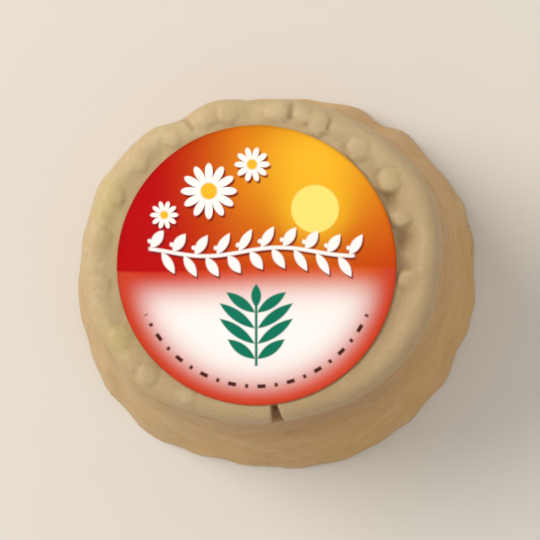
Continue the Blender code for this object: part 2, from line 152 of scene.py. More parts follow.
# Bulges and hollows of the side: angle and half-width in degrees, height, half-height, amount
DENTS = (
    (3, 9, 4 * MM, 12 * MM, -0.6 * MM),
    (15, 9, 4 * MM, 12 * MM, 0.2 * MM),
    (27, 8, 4 * MM, 12 * MM, 0.2 * MM),
    (36, 4, 4 * MM, 12 * MM, 0.2 * MM),
    (42, 4, 4 * MM, 12 * MM, -0.2 * MM),
    (49, 5, 4 * MM, 12 * MM, 0.55 * MM),
    (57, 5, 4 * MM, 12 * MM, -0.35 * MM),
    (66, 6, 4 * MM, 12 * MM, 0.55 * MM),
    (78, 7, 4 * MM, 12 * MM, -0.35 * MM),
    (89, 7, 4 * MM, 12 * MM, -0.35 * MM),
    (100, 9, 4 * MM, 12 * MM, -0.5 * MM),
    (112, 9, 4 * MM, 12 * MM, 0.4 * MM),
    (118, 9, 12 * MM, 10 * MM, -0.4 * MM),
    (150, 7, 20 * MM, 9 * MM, 0.3 * MM),
    (160, 9, 4 * MM, 12 * MM, 0.15 * MM),
    (172, 9, 4 * MM, 12 * MM, -0.3 * MM),
    (196, 9, 4 * MM, 12 * MM, -0.2 * MM),
    (208, 9, 4 * MM, 12 * MM, 0.5 * MM),
    (220, 9, 4 * MM, 12 * MM, 0.35 * MM),
    (221, 16, 27 * MM, 6 * MM, 0.5 * MM),
    (232, 9, 4 * MM, 12 * MM, 0.85 * MM),
    (244, 9, 4 * MM, 12 * MM, -0.2 * MM),
    (256, 9, 4 * MM, 12 * MM, -0.2 * MM),
    (268, 9, 4 * MM, 12 * MM, -0.4 * MM),
    (280, 9, 4 * MM, 12 * MM, 0.15 * MM),
    (286, 20, 22 * MM, 9 * MM, -0.9 * MM),
    (320, 9, 4 * MM, 12 * MM, -0.3 * MM),
    (330, 8, 20 * MM, 9 * MM, -0.3 * MM),
    (340, 9, 4 * MM, 12 * MM, -0.8 * MM),
)

# Yellowish spots on the rim: angle in degrees, distance from the label's middle, radius, strength
YELLOW_SPOTS = (
    (159.0, 18.9 * MM, 1.2 * MM, 1.0),
    (152.5, 19.2 * MM, 1.4 * MM, 0.6),
    (167.0, 18.3 * MM, 1.5 * MM, 0.4),
    (208.5, 18.3 * MM, 1.6 * MM, 0.9),
    (33.0, 18.6 * MM, 1.2 * MM, 0.4),
    (88.0, 19.0 * MM, 1.2 * MM, 0.3),
    (318.0, 18.6 * MM, 1.8 * MM, 0.3),
)

# Torn scales that stand out of the side: angle in degrees, height of the torn edge, rise, half-width.
# They slope gently above the edge and steeply below it
SCALES = (
    (184.0, 14.0 * MM, 0.5 * MM, 2.4 * MM),
    (209.0, 10.5 * MM, 0.35 * MM, 1.6 * MM),
    (243.0, 9.0 * MM, 0.3 * MM, 1.6 * MM),
    (262.0, 16.5 * MM, 0.25 * MM, 1.8 * MM),
    (312.0, 12.0 * MM, 0.4 * MM, 1.7 * MM),
    (20.0, 5.5 * MM, 0.45 * MM, 1.8 * MM),
    (70.0, 13.0 * MM, 0.3 * MM, 1.6 * MM),
    (128.0, 8.0 * MM, 0.45 * MM, 1.5 * MM),
)
SCALE_SLOPE = 1.9 * MM
SCALE_EDGE = 0.4 * MM
SCALE_RADIUS = 24 * MM

# Small pits on the side
SIDE_PITS = 46
SIDE_PIT_SEED = 23
SIDE_PIT_RADIUS = (0.2 * MM, 0.42 * MM)
SIDE_PIT_DEPTH = (0.15, 0.45)

# Noise of the surface: sizes and seeds of its coarse, medium and small lumps, and how far they stand out
LUMP_SIZES = (2.6 * MM, 1.3 * MM, 0.62 * MM)
LUMP_SEEDS = (31, 37, 41)
SKIRT_LUMPS = (0.06 * MM, 0.04 * MM, 0.03 * MM)
UPPER_LUMPS = (0.05 * MM, 0.025 * MM, 0.015 * MM)
RIM_LUMPS = (0.09 * MM, 0.05 * MM, 0.02 * MM)
LABELLED_LUMPS = (0.03 * MM, 0, 0)
# Wrinkles above the ledge, how far lumps shift the curd grains, and where the rim comes out bare
WRINKLE_SIZE = 2.3 * MM
WRINKLE_DEPTH = 0.015 * MM
CURD_DRIFT = 0.25 * MM
BARE_RING = 15.8 * MM

# Painted shade on the side under the rim, at the front and on the right: angle and half-width in degrees,
# strength
SHADE_UNDER_RIM = (
    (293, 42, 0.40),
    (15, 38, 0.16),
)
# The height round which that painted shade is strongest, and how far it reaches
SHADE_HEIGHT = 29 * MM
SHADE_REACH = 13 * MM
# Where painted shade lies in the crease, and where painted light makes the side paler: angle and
# half-width in degrees
CREASE_SHADE = (240, 45)
LIT_SIDE = (203, 42)
# Which way the side is golden, partly its own tan and partly painted warm shade, and which way the rim
# gets
# painted shade: angle in degrees, strength
GOLDEN_AND_SHADED_SIDE = (340, 0.35)
SHADED_RIM = (310, 0.336)
TINT_SHARPNESS = 1.2
# How far the rim's colour eases into the side's: at the least, and how much more at an angle in degrees
RIM_FADE = 1.6 * MM
RIM_FADE_MORE = 2.8 * MM
RIM_FADE_WAY = 40

# Painted shade in recesses and painted highlight on crests, small and broad: how often the surface is
# softened, and the depth that counts as full
SMALL_HOLLOWS = (6, 0.10 * MM)
BROAD_HOLLOWS = (70, 0.45 * MM)

# Crumbs along the base, every third one at the front, in degrees, and finer ones among them. A crumb
# of the CAD has CRUMB_CORNERS corners, each with a random number of its own
CRUMBS = 22
CRUMB_CORNERS = 12
CRUMB_FRONT = (255, 290)
CRUMB_RADIUS = (0.45 * MM, 0.8 * MM)
CRUMB_SEED = 11
FINE_CRUMBS = 30
FINE_CRUMB_FRONT = (235, 305)
FINE_CRUMB_RADIUS = (0.12 * MM, 0.36 * MM)
FINE_CRUMB_REACH = 9 * MM
CRUMB_SEGMENTS = 10
CRUMB_RINGS = 6
# What the rind's material reads on the crumbs: a little painted highlight, and a trace of the painted
# shade and of the golden tint.
CRUMB_SHARES = {
    "relief_shade": -0.5,
    "rim_share": 0.5,
    "skirt_share": 1.0,
    "yellow_share": 0.0,
    "golden_and_shade_share": 0.1,
    "painted_shade_share": 0.05,
}

# How far the label lies to the left and to the front of the top's middle
LABEL_OFF = (0.4 * MM, 0.6 * MM)

# Where the label's edge curls up: angle and half-width in degrees, share of the whole curl
LABEL_CURLS = (
    (20, 26, 1.0),
    (215, 20, 0.7),
)
LABEL_CURL = 0.22 * MM
LABEL_RIPPLE = 0.03 * MM
LABEL_RIPPLES = 9

# Daisies on the label, in its radii: middle, radius, number of petals
DAISIES = (
    (-0.34, 0.53, 0.20, 12),
    (-0.03, 0.72, 0.125, 10),
    (-0.66, 0.36, 0.10, 10),
)
# Pairs of leaves on the sprig: height on the stem, length. Then how steep they are, and half their width
SPRIG_LEAVES = (
    (-0.33, 0.22),
    (-0.44, 0.27),
    (-0.55, 0.27),
    (-0.66, 0.21),
)
SPRIG_TURN = 0.62
SPRIG_LEAF_HALF = 0.038
# The vine: how far apart its leaves are, how many there are above and below, and a leaf's length,
# half-width and distance from the stem
VINE_STEP = 0.158
VINE_ABOVE = 10
VINE_BELOW = 9
VINE_LEAF = 0.17
VINE_LEAF_HALF = 0.034
VINE_LEAF_OFF = 0.078
# The sun's and the sky's glow: middle, radius. Then how far shadows fall, and how soft edges are
SUN = (0.42, 0.40, 0.17)
SKY_GLOW = (0.40, 0.72, 0.46)
LEAF_SHADOW = (0.012, -0.018)
INK_SOFTNESS = 0.014
LEAF_SOFTNESS = 0.012
# The dashes along the edge: radius of their ring, half their breadth, their step and their reach
DASH_RING = 0.865
DASH_HALF = 0.014
DASH_STEP = math.radians(7.0)
DASH_REACH = math.radians(66)

# How finely the surfaces are divided
COLUMNS = 540
MIDDLE_ROWS = 22
TROUGH_ROWS = 20
ARC_ROWS = 18
SIDE_ROWS = 104
BASE_ROWS = 6
BASE_ROUNDING = 0.7 * MM
LABEL_COLUMNS = 240
LABEL_RINGS = 64
FLOOR_CORNERS = 96
FLOOR_RINGS = 8

# How far the visual model stays inside the CAD's box
BOX_MARGIN = 0.02 * MM

# The lamps: place, width and tint. They look at a spot inside the cheese, and the camera behind it
KEY_LAMP = ((-0.42, 0.20, 0.57), 0.42, (1.0, 0.97, 0.93))
FILL_LAMP = ((0.46, -0.40, 0.40), 0.55, (1.0, 0.98, 0.96))
LAMP_TARGET = (0.0, 0.0, 0.02)
SKY_TINT = (0.98, 0.97, 0.95, 1.0)
CAMERA_AIM_BACK = 0.9 * MM


# Values that a user would change


def srgb(red, green, blue):
    """A screen colour from 0 to 255 as the linear colour that Blender's shaders take."""
    part = np.array((red, green, blue)) / 255
    linear = np.where(part <= 0.04045, part / 12.92, ((part + 0.055) / 1.055) ** 2.4)
    return tuple(float(v) for v in linear)


def length(name, description, default):
    """A size that the sidebar shows in the scene's units."""
    return bpy.props.FloatProperty(
        name=name, description=description, default=default, min=0.0, unit="LENGTH", precision=5
    )


def share(name, description, default):
    """A number from 0 to 1."""
    return bpy.props.FloatProperty(
        name=name, description=description, default=default, min=0.0, max=1.0, subtype="FACTOR"
    )


def power(name, description, default):
    """A lamp's power."""
    return bpy.props.FloatProperty(
        name=name, description=description, default=default, min=0.0, unit="POWER", precision=3
    )


def colour(name, description, default):
    """A colour of a surface or an ink."""
    return bpy.props.FloatVectorProperty(
        name=name, description=description, default=default, min=0.0, max=1.0, size=3, subtype="COLOR"
    )


class CheeseForm(bpy.types.PropertyGroup):
    """The cheese's sizes."""

    base_width: length("Base width", "Across the squeezed base, left to right", 53.2 * MM)
    base_depth: length("Base depth", "Across the squeezed base, front to back", 49.6 * MM)
    top_width: length("Top width", "Across the rim's outline, left to right", 42.8 * MM)
    top_depth: length("Top depth", "Across the rim's outline, front to back", 38.5 * MM)
    height: length("Height", "From the base to the rim's crest", 36.0 * MM)
    lean_left: length("Lean left", "How far the top lies to the left of the base", 0.3 * MM)
    lean_back: length("Lean back", "How far the top lies behind the base", 1.4 * MM)
    flare: bpy.props.FloatProperty(
        name="Flare", description="1 is a straight side, more is steeper at the top", default=1.4, min=1.0
    )
    arc_width: length("Rim arc width", "How far the crest lies in from the outline", 1.8 * MM)
    arc_height: length("Rim arc height", "How far the crest lies above the side's top", 2.0 * MM)
    rim_rise: length("Rim rise", "The crest above the flat top", 0.55 * MM)
    rim_fall: length("Rim fall", "How wide the rim's inner slope is", 1.6 * MM)
    kept_width: length("Kept width", "Where the round rim passes to the oval top", 6.0 * MM)
    trough_ring: length("Trough ring", "From the label's middle to the trough", 17.5 * MM)
    trough_width: length("Trough width", "Half the trough's width", 0.9 * MM)
    trough_depth: length("Trough depth", "How deep the trough is on its deep side", 0.25 * MM)
    crease_height: length("Crease height", "Height of the crease under the rim", 32.6 * MM)
    crease_depth: length("Crease depth", "Depth of the crease under the rim", 0.6 * MM)
    ledge_height: length("Ledge height", "Height of the ledge above the skirt", 20.5 * MM)
    ledge_depth: length("Ledge depth", "How far the skirt stands out below the ledge", 0.15 * MM)
    grain_size: length("Lump size", "Size of the soft lumps of the side", 5.0 * MM)
    grain_upper: length("Upper lumps", "How far lumps stand out above the ledge", 0.08 * MM)
    grain_skirt: length("Skirt lumps", "How far lumps stand out below the ledge", 0.1 * MM)
    curd_size: length("Curd size", "Size of a grain of curd on the skirt", 0.95 * MM)
    curd_relief: length("Curd relief", "How far a grain of curd stands out", 0.05 * MM)

    @property
    def side_top(self):
        """The height at which the side ends and the rim's arc starts."""
        return self.height - self.arc_height

    @property
    def mean_base(self):
        """The mean radius of the oval base."""
        return (self.base_width + self.base_depth) / 4

    @property
    def mean_top(self):
        """The mean radius of the oval top."""
        return (self.top_width + self.top_depth) / 4


class RindFinish(bpy.types.PropertyGroup):
    """The colours and sheen of the cheese's surface."""

    rim_colour: colour("Rim", "Greyish cream of the rim and top", srgb(197, 173, 130))
    side_colour: colour("Side", "Pinkish tan of the side", srgb(198, 157, 100))
    skirt_colour: colour("Skirt", "Warmer cream of the skirt", srgb(208, 166, 108))
    yellow_colour: colour("Spots", "Yellowish spots on the rim", srgb(200, 183, 112))
    warm_colour: colour("Warm patches", "Broad warmer patches all over", srgb(186, 150, 104))
    # The curd's own pale flecks; the same colour is the painted highlight on crests.
    fleck_and_highlight_colour: colour("Pale flecks", "Small pale flecks and crests", srgb(222, 204, 170))
    # The rind's own pores and specks; the same brown is the painted shade in recesses and cracks.
    pore_and_shade_colour: colour("Hollows", "Brown that gathers in pits and cracks", srgb(124, 80, 38))
    # Painted shade: this brown darkens the side under the rim's front and right, the rim's front, the
    # crease and the cracks.
    painted_shade_colour: colour("Browned side", "Brown of the side under the rim's front", srgb(116, 67, 18))
    # Golden tint on the right of the side: partly the side's own tan, partly painted warm shade.
    golden_and_shade_colour: colour("Golden side", "Golden tan on the right of the side", srgb(212, 155, 70))
    roughness: share("Roughness", "How matt the rind is", 0.52)
    glow: share("Glow", "How much light passes through the curd", 0.3)


class LabelDesign(bpy.types.PropertyGroup):
    """The label's sizes and inks."""

    diameter: length("Diameter", "Across the label", LABEL_BOX[1].x - LABEL_BOX[0].x)
    thickness: length("Thickness", "Of the paper", 0.12 * MM)
    lift: length("Lift", "How far the paper lies above the rim's slope", 0.1 * MM)
    waves: length("Waves", "How far damp makes the paper cockle", 0.07 * MM)
    red: colour("Red", "Ink at the left and round the edge", srgb(190, 0, 4))
    orange: colour("Orange", "Ink in the middle and at the right", srgb(216, 94, 0))
    yellow: colour("Yellow", "Ink round the sun", srgb(252, 190, 38))
    sun: colour("Sun", "Ink of the sun", srgb(255, 232, 120))
    paper: colour("Paper", "Bare paper", srgb(255, 250, 246))
    green: colour("Green", "Ink of the sprig", srgb(10, 120, 92))
    dark: colour("Dark", "Ink of the dashes along the edge", srgb(74, 30, 26))
    shadow: colour("Shadow", "Dark red under the white leaves", srgb(120, 14, 14))
    lower_left: colour("Lower left", "Ink that fades into the paper at the left", srgb(208, 40, 30))
    lower_right: colour("Lower right", "Ink that fades into the paper at the right", srgb(222, 98, 30))
    edge: colour("Edge", "Ink along the lower edge", srgb(208, 66, 36))
    roughness: share("Roughness", "How matt the coated paper is", 0.38)


class StudioStage(bpy.types.PropertyGroup):
    """The floor, the lights and the camera."""

    floor_colour: colour("Floor", "Colour of the plain floor", srgb(226, 220, 211))
    floor_radius: length("Floor radius", "Radius of the round floor", 1.6)
    camera_right: length("Camera right", "Camera's place to the right of the base's middle", 14.5 * MM)
    camera_front: length("Camera front", "Camera's place in front of the base's middle", 10.0 * MM)
    camera_height: length("Camera height", "Camera's height above the floor", 0.3)
    field_of_view: bpy.props.FloatProperty(
        name="Field of view",
        description="Angle that the camera sees",
        default=math.radians(13.6),
        subtype="ANGLE",
    )
    key_power: power("Key light", "Power of the soft key light", 3.15)
    fill_power: power("Fill light", "Power of the soft fill light", 0.25)
    sky: share("Sky", "Strength of the light from all round", 0.62)


# The form of the cheese, as functions of arrays. Places are measured from the base's middle


def label_middle(form):
    """The label's middle from the base's middle: the top's middle, and a little to the front left."""
    return np.array((-form.lean_left - LABEL_OFF[0], form.lean_back - LABEL_OFF[1]))


def base_middle(form):
    """The base's middle in the frame: the label's box has its middle where label_middle says."""
    box_middle = (np.array(LABEL_BOX[0]) + np.array(LABEL_BOX[1])) / 2
    return box_middle[:2] - label_middle(form)


def bell(value, middle, half):
    """A bell curve: e to the minus square of the distance from the middle over the half-width."""
    return np.exp(-(((value - middle) / half) ** 2))


def ease(value):
    """0 up to 0, 1 from 1 on, and 3 t squared - 2 t cubed between."""
    t = np.clip(value, 0, 1)
    return t * t * (3 - 2 * t)


def facing(angle, degrees, sharpness=1.0):
    """1 in a direction and 0 opposite to it: a half plus half the cosine, to a power."""
    return (0.5 + 0.5 * np.cos(angle - math.radians(degrees))) ** sharpness


def angle_from(angle, degrees):
    """The angle from a direction, in degrees, between -180 and 180."""
    return (np.degrees(angle) - degrees + 180) % 360 - 180


def oval(angle, half_width, half_depth):
    """An ellipse's radius: 1 over the root of (cos/a) squared + (sin/b) squared."""
    return 1 / np.hypot(np.cos(angle) / half_width, np.sin(angle) / half_depth)


def soft_lumps(x, y, z, size, waves=30, seed=7):
    """A sum of sine waves of uneven length in seeded directions, over the root of half their number."""
    random = np.random.default_rng(seed)
    total = np.zeros_like(x)
    for _ in range(waves):
        way = random.normal(size=3)
        way *= ROUND / (size * random.uniform(0.7, 1.5) * np.linalg.norm(way))
        total += np.sin(way[0] * x + way[1] * y + way[2] * z + random.uniform(0, ROUND))
    return total / math.sqrt(waves / 2)


def flare(form, height):
    """How far the side has passed from the base's section to the top's: 1 - (1 - t) to the flare."""
    return 1 - (1 - np.clip(height / form.side_top, 0, 1)) ** form.flare


def side_radius(form, angle, height):
    """The plain side: the base oval passing to the rim's outline."""
    base = oval(angle, form.base_width / 2, form.base_depth / 2)
    return base + (rim_outline(form, angle) - base) * flare(form, height)


def ledge_line(form, angle):
    """The ledge's height in each direction: a level line with a wave of two and one of five."""
    return form.ledge_height + 1.2 * MM * np.sin(2 * angle + 0.6) + 0.6 * MM * np.sin(5 * angle)


def side_relief(form, angle, height):
    """What the side stands out from its plain form by: dents, the crease, the ledge and soft lumps."""
    out = np.zeros(np.broadcast(angle, height).shape)
    for degrees, half_angle, middle, half_height, amount in DENTS:
        out += amount * bell(angle_from(angle, degrees), 0, half_angle) * bell(height, middle, half_height)
    out -= form.crease_depth * facing(angle, 245) * bell(height, form.crease_height, 0.7 * MM)
    ledge = ledge_line(form, angle)
    out -= form.ledge_depth * bell(height, ledge, 1 * MM)
    out += 0.5 * form.ledge_depth * bell(height, ledge - 3 * MM, 2.2 * MM)
    radius = side_radius(form, angle, height)
    lumps = soft_lumps(radius * np.cos(angle), radius * np.sin(angle), height + 0 * angle, form.grain_size)
    skirt = 1 / (1 + np.exp((height - ledge) / MM))
    return out + (form.grain_upper + (form.grain_skirt - form.grain_upper) * skirt) * lumps


def section_middle(form, height):
    """The middle of the section at a height: the lean grows evenly with it."""
    up = np.clip(height / form.height, 0, 1)
    return -form.lean_left * up, form.lean_back * up


def rim_outline(form, angle):
    """The rim's outline from the top's middle: an ellipse plus a bell curve for each bump."""
    out = oval(angle, form.top_width / 2, form.top_depth / 2)
    for degrees, half_angle, amount in RIM_BUMPS:
        out = out + amount * bell(angle_from(angle, degrees), 0, half_angle)
    return out


def smooth_top(form, x, y):
    """The top without trough and pits: an elliptic arc to the crest, then a bell-shaped fall."""
    middle_x, middle_y = section_middle(form, form.height)
    angle = np.arctan2(y - middle_y, x - middle_x)
    inward = rim_outline(form, angle) - np.hypot(x - middle_x, y - middle_y)
    along = np.clip(1 - inward / form.arc_width, 0, 1)
    arc = form.side_top + form.arc_height * np.sqrt(1 - along**2)
    flat = np.exp(-((np.clip(inward - form.arc_width, 0, None) / form.rim_fall) ** 2))
    waves = 0.10 * MM * np.sin(x / (5.1 * MM) + 0.7) * np.cos(y / (6.3 * MM) - 0.4)
    return arc - form.rim_rise * (1 - flat) + waves * (1 - flat)


def round_label(form, x, y):
    """Distance and angle of places from the label's middle."""
    middle = label_middle(form)
    return np.hypot(x - middle[0], y - middle[1]), np.arctan2(y - middle[1], x - middle[0])


def off_spot(form, x, y, degrees, distance):
    """How far places lie from a spot that is given round the label's middle."""
    middle = label_middle(form)
    turn = math.radians(degrees)
    return np.hypot(x - middle[0] - distance * math.cos(turn), y - middle[1] - distance * math.sin(turn))


def rim_life(around):
    """How lively the rim's relief is: 0.84 on the right and 0.44 on the left, by a half cosine."""
    return 0.44 + 0.4 * facing(around, 15)


def top_relief(form, x, y):
    """How far the trough, a bell across its ring, and the pits, bells round their spots, go down."""
    away, around = round_label(form, x, y)
    down = form.trough_depth * bell(away, form.trough_ring, form.trough_width)
    down *= 0.1 + 0.9 * facing(around, 20, 2)
    for degrees, distance, depth, radius in PITS:
        down += depth * bell(off_spot(form, x, y, degrees, distance), 0, radius)
    return -down * rim_life(around)


def top_places(form, angle, radius):
    """Where the turned top's points go: the rim keeps its width, and the rest is stretched to the oval."""
    rim = rim_outline(form, angle)
    inward = form.mean_top - radius
    stretched = np.clip((inward - form.arc_width) / form.kept_width, 0, 1)
    reach = (rim - inward) * (1 - stretched) + rim * radius / form.mean_top * stretched
    middle_x, middle_y = section_middle(form, form.height)
    x = middle_x + reach * np.cos(angle)
    y = middle_y + reach * np.sin(angle)
    z = smooth_top(form, x, y) + np.clip(inward / form.arc_width, 0, 1) * top_relief(form, x, y)
    return np.stack((x, y, z), axis=-1)


def side_places(form, angle, radius, height):
    """Where the turned side's and base's points go. The relief dies away just under the rim."""
    under_rim = np.clip((height - form.side_top) / form.arc_height + 1, 0, 1)
    out = side_radius(form, angle, height) + side_relief(form, angle, height)
    out = out * (1 - under_rim) + rim_outline(form, angle) * under_rim
    mean = form.mean_base + (form.mean_top - form.mean_base) * flare(form, height)
    reach = out * radius / mean
    middle_x, middle_y = section_middle(form, height)
    x = middle_x + reach * np.cos(angle)
    return np.stack((x, middle_y + reach * np.sin(angle), height + 0 * x), axis=-1)


# Noise


def cell_table(points, size, seed):
    """Cubes of a lattice: each point's cube and place in it, and a seeded number for any cube."""
    spots = points / size
    cell = np.floor(spots).astype(np.int64)
    shuffled = np.random.default_rng(seed).permutation(1024)

    def number(cells):
        """The number that belongs to each cell of the lattice."""
        first = shuffled[cells[:, 0] % 1024]
        second = shuffled[(first + cells[:, 1]) % 1024]
        return shuffled[(second + cells[:, 2]) % 1024]

    return cell, spots - cell, number


def noise(points, size, seed):
    """Gradient noise, about -1 to 1: seeded slopes at a lattice's corners, blended by
    6t^5 - 15t^4 + 10t^3."""
    cell, inside, number = cell_table(points, size, seed)
    slopes = np.random.default_rng(seed + 1).normal(size=(1024, 3))
    slopes /= np.linalg.norm(slopes, axis=1, keepdims=True)
    eased = inside**3 * (inside * (inside * 6 - 15) + 10)
    total = np.zeros(len(points))
    for corner in np.ndindex(2, 2, 2):
        step = np.array(corner)
        rise = ((inside - step) * slopes[number(cell + step)]).sum(axis=1)
        total += rise * np.where(step, eased, 1 - eased).prod(axis=1)
    return 1.5 * total


def grains(points, size, seed):
    """Rounded grains: 1 minus the square of the distance to the nearest of one point a cube."""
    cell, inside, number = cell_table(points, size, seed)
    spots = np.random.default_rng(seed + 1).uniform(0.1, 0.9, size=(1024, 3))
    nearest = np.full(len(points), 9.0)
    for corner in np.ndindex(3, 3, 3):
        step = np.array(corner) - 1
        gap = ((spots[number(cell + step)] + step - inside) ** 2).sum(axis=1)
        nearest = np.minimum(nearest, gap)
    return 1 - nearest


# Meshes


def mesh_object(name, points, quads, triangles):
    """A smooth-shaded mesh object at the origin, from arrays of points, quads and triangles."""
    corners = np.concatenate((np.asarray(quads).ravel(), np.asarray(triangles).ravel()))
    sizes = np.concatenate((np.full(len(quads), 4), np.full(len(triangles), 3)))
    mesh = bpy.data.meshes.new(name)
    mesh.vertices.add(len(points))
    mesh.vertices.foreach_set("co", np.asarray(points, np.float32).ravel())
    mesh.loops.add(len(corners))
    mesh.loops.foreach_set("vertex_index", corners.astype(np.int32))
    mesh.polygons.add(len(sizes))
    starts = np.concatenate(([0], np.cumsum(sizes)[:-1]))
    mesh.polygons.foreach_set("loop_start", starts.astype(np.int32))
    mesh.update(calc_edges=True)
    mesh.validate()
    mesh.shade_smooth()
    obj = bpy.data.objects.new(name, mesh)
    bpy.context.scene.collection.objects.link(obj)
    return obj


def turned_faces(rows, columns, first=0):
    """Faces of rings of points, ring after ring from the top down, between two poles that come last."""
    ring = np.arange(columns)
    after = (ring + 1) % columns
    start = first + np.arange(rows - 1)[:, None] * columns
    below = start + columns
    quads = np.stack((start + ring, below + ring, below + after, start + after), axis=-1)
    top = first + rows * columns
    cap = np.stack((np.full(columns, top), ring + first, after + first), axis=-1)
    last = first + (rows - 1) * columns
    floor = np.stack((np.full(columns, top + 1), last + after, last + ring), axis=-1)
    return quads.reshape(-1, 4), np.concatenate((cap, floor))


def set_share(obj, name, values):
    """Keeps a number for each point, which a material's Attribute node reads."""
    made = obj.data.attributes.new(name, "FLOAT", "POINT")
    made.data.foreach_set("value", np.asarray(values, np.float32).ravel())


def normals_of(places):
    """Outward normals of a turned grid, from the differences of neighbouring rings and columns."""
    around = np.roll(places, -1, axis=1) - np.roll(places, 1, axis=1)
    down = np.gradient(places, axis=0)
    normal = np.cross(down, around)
    return normal / np.maximum(np.linalg.norm(normal, axis=-1, keepdims=True), 1e-12)


def softened(places, times):
    """The grid with each point moved towards its neighbours' middle, again and again."""
    for _ in range(times):
        places = (np.roll(places, 1, axis=1) + 2 * places + np.roll(places, -1, axis=1)) / 4
        padded = np.concatenate((places[:1], places, places[-1:]))
        places = (padded[:-2] + 2 * places + padded[2:]) / 4
    return places


# The cheese's body


def turned_rows(form):
    """Mean radius and height of each ring, from the top's middle over the rim and down to the base."""
    crest = form.mean_top - form.arc_width
    bank = form.mean_top - 5.2 * MM
    middle = np.linspace(0, bank, MIDDLE_ROWS + 1)[1:]
    trough = np.linspace(bank, crest, TROUGH_ROWS + 1)[1:-1]
    turn = np.linspace(math.pi / 2, 0, ARC_ROWS + 1)[:-1]
    arc = form.mean_top - form.arc_width * (1 - np.cos(turn))
    heights = np.linspace(form.side_top, BASE_ROUNDING, SIDE_ROWS)
    side = form.mean_base + (form.mean_top - form.mean_base) * flare(form, heights)
    bend = np.linspace(0, math.pi / 2, 5)[1:]
    edge = form.mean_base - BASE_ROUNDING * (1 - np.cos(bend))
    base = np.linspace(form.mean_base - BASE_ROUNDING, 0, BASE_ROWS + 1)[1:-1]
    radius = np.concatenate((middle, trough, arc, side, edge, base))
    top = np.full(len(middle) + len(trough), form.height)
    rim = form.side_top + form.arc_height * np.sin(turn)
    foot = BASE_ROUNDING * (1 - np.sin(bend))
    return radius, np.concatenate((top, rim, heights, foot, 0 * base))


def raise_knobs(form, places, uneven):
    """Soft knobs: inside a wobbly circle the surface passes, by a logistic step, to a tilted, domed top.
    The top lies half way between the rim's own slope and a level at the knob's middle. A faint groove
    runs round one side."""
    x, y, z = (places[..., axis].copy() for axis in range(3))
    middle = label_middle(form)
    slope = smooth_top(form, x, y)
    for number, (degrees, distance, radius, rise) in enumerate(KNOBS):
        random = np.random.default_rng(KNOB_SEED + number)
        tilt = random.uniform(-KNOB_TILT, KNOB_TILT, size=2)
        broken = random.uniform(0, ROUND)
        turn = math.radians(degrees)
        peg_x = middle[0] + distance * math.cos(turn)
        peg_y = middle[1] + distance * math.sin(turn)
        off_x, off_y = x - peg_x, y - peg_y
        off = np.hypot(off_x, off_y) + KNOB_WOBBLE * uneven
        foot = (float(smooth_top(form, np.float64(peg_x), np.float64(peg_y))) + slope) / 2
        dome = rise * (1 - KNOB_DOME * np.clip(off / radius, 0, 1.5) ** 2)
        top = foot + dome + tilt[1] * off_x - tilt[0] * off_y
        away_from_break = 0.5 - 0.5 * np.cos(np.arctan2(off_y, off_x) - broken)
        groove = bell(off, radius + KNOB_GROOVE_WIDTH, KNOB_GROOVE_WIDTH)
        z -= KNOB_GROOVE * rise * groove * away_from_break
        inside = 1 / (1 + np.exp(np.clip((off - radius) / KNOB_BLEND, -40, 40)))
        z += np.where(inside > 0.002, (top - z) * inside, 0)
    places[..., 2] = z


def cracks(form, places):
    """Cuts across the rim. A deep one has steep sides and a flat bottom: twice 1 minus the distance
    across over half the width, at most 1. A shallow one is a bell curve. They narrow inwards."""
    x, y = places[..., 0], places[..., 1]
    away, around = round_label(form, x, y)
    cut = np.zeros_like(x)
    for number, (degrees, inner, outer, width, depth) in enumerate(CRACKS):
        turn = np.radians(angle_from(around, degrees))
        along = (away * np.cos(turn) - inner) / (outer - inner)
        across = away * np.sin(turn) + CRACK_WAVER * np.sin(away / CRACK_WAVE_LENGTH + 2.0 * number)
        across = across - CRACK_LEAN * (along - 0.5) * (outer - inner)
        grow = 0.35 + 0.65 * np.clip(along, 0, 1)
        share_across = np.abs(across) / (0.5 * width * grow)
        steep = depth > DEEP_CRACK
        valley = np.clip(2 - 2 * share_across, 0, 1) if steep else bell(share_across, 0, 1)
        ends = ease(along / 0.25) * ease((1.25 - along) / 0.3) * (np.cos(turn) > 0)
        cut = np.maximum(cut, depth * valley * ends)
    return cut


def side_pits(form, angle, height):
    """Small seeded pits on the side, most on the skirt: bells, each with a faint raised lip."""
    random = np.random.default_rng(SIDE_PIT_SEED)
    down = np.zeros(np.broadcast(angle, height).shape)
    for number in range(SIDE_PITS):
        on_skirt = number % 4 > 0
        low, high = (0.04, 0.95) if on_skirt else (1.1, 1.5)
        middle = form.ledge_height * random.uniform(low, high)
        at = random.uniform(0, ROUND)
        radius = random.uniform(*SIDE_PIT_RADIUS)
        depth = radius * random.uniform(*SIDE_PIT_DEPTH)
        across = np.radians(angle_from(angle, math.degrees(at))) * form.mean_top * 1.1
        off = np.hypot(across, (height - middle) * random.uniform(0.8, 1.5)) / radius
        down += depth * (bell(off, 0, 1) - 0.18 * bell(off, 1.7, 0.5))
    return down


def torn_scales(angle, height, uneven):
    """Scales of torn curd: a bell across, rising gently from above and falling sharply below its edge."""
    out = np.zeros_like(uneven)
    for degrees, edge, rise, half_width in SCALES:
        across = np.radians(angle_from(angle, degrees)) * SCALE_RADIUS / half_width + 0.3 * uneven
        above = height - edge + 0.35 * half_width * across**2 + SCALE_EDGE * uneven
        out += rise * bell(across, 0, 1) * bell(above, 0, np.where(above > 0, SCALE_SLOPE, SCALE_EDGE))
    return out


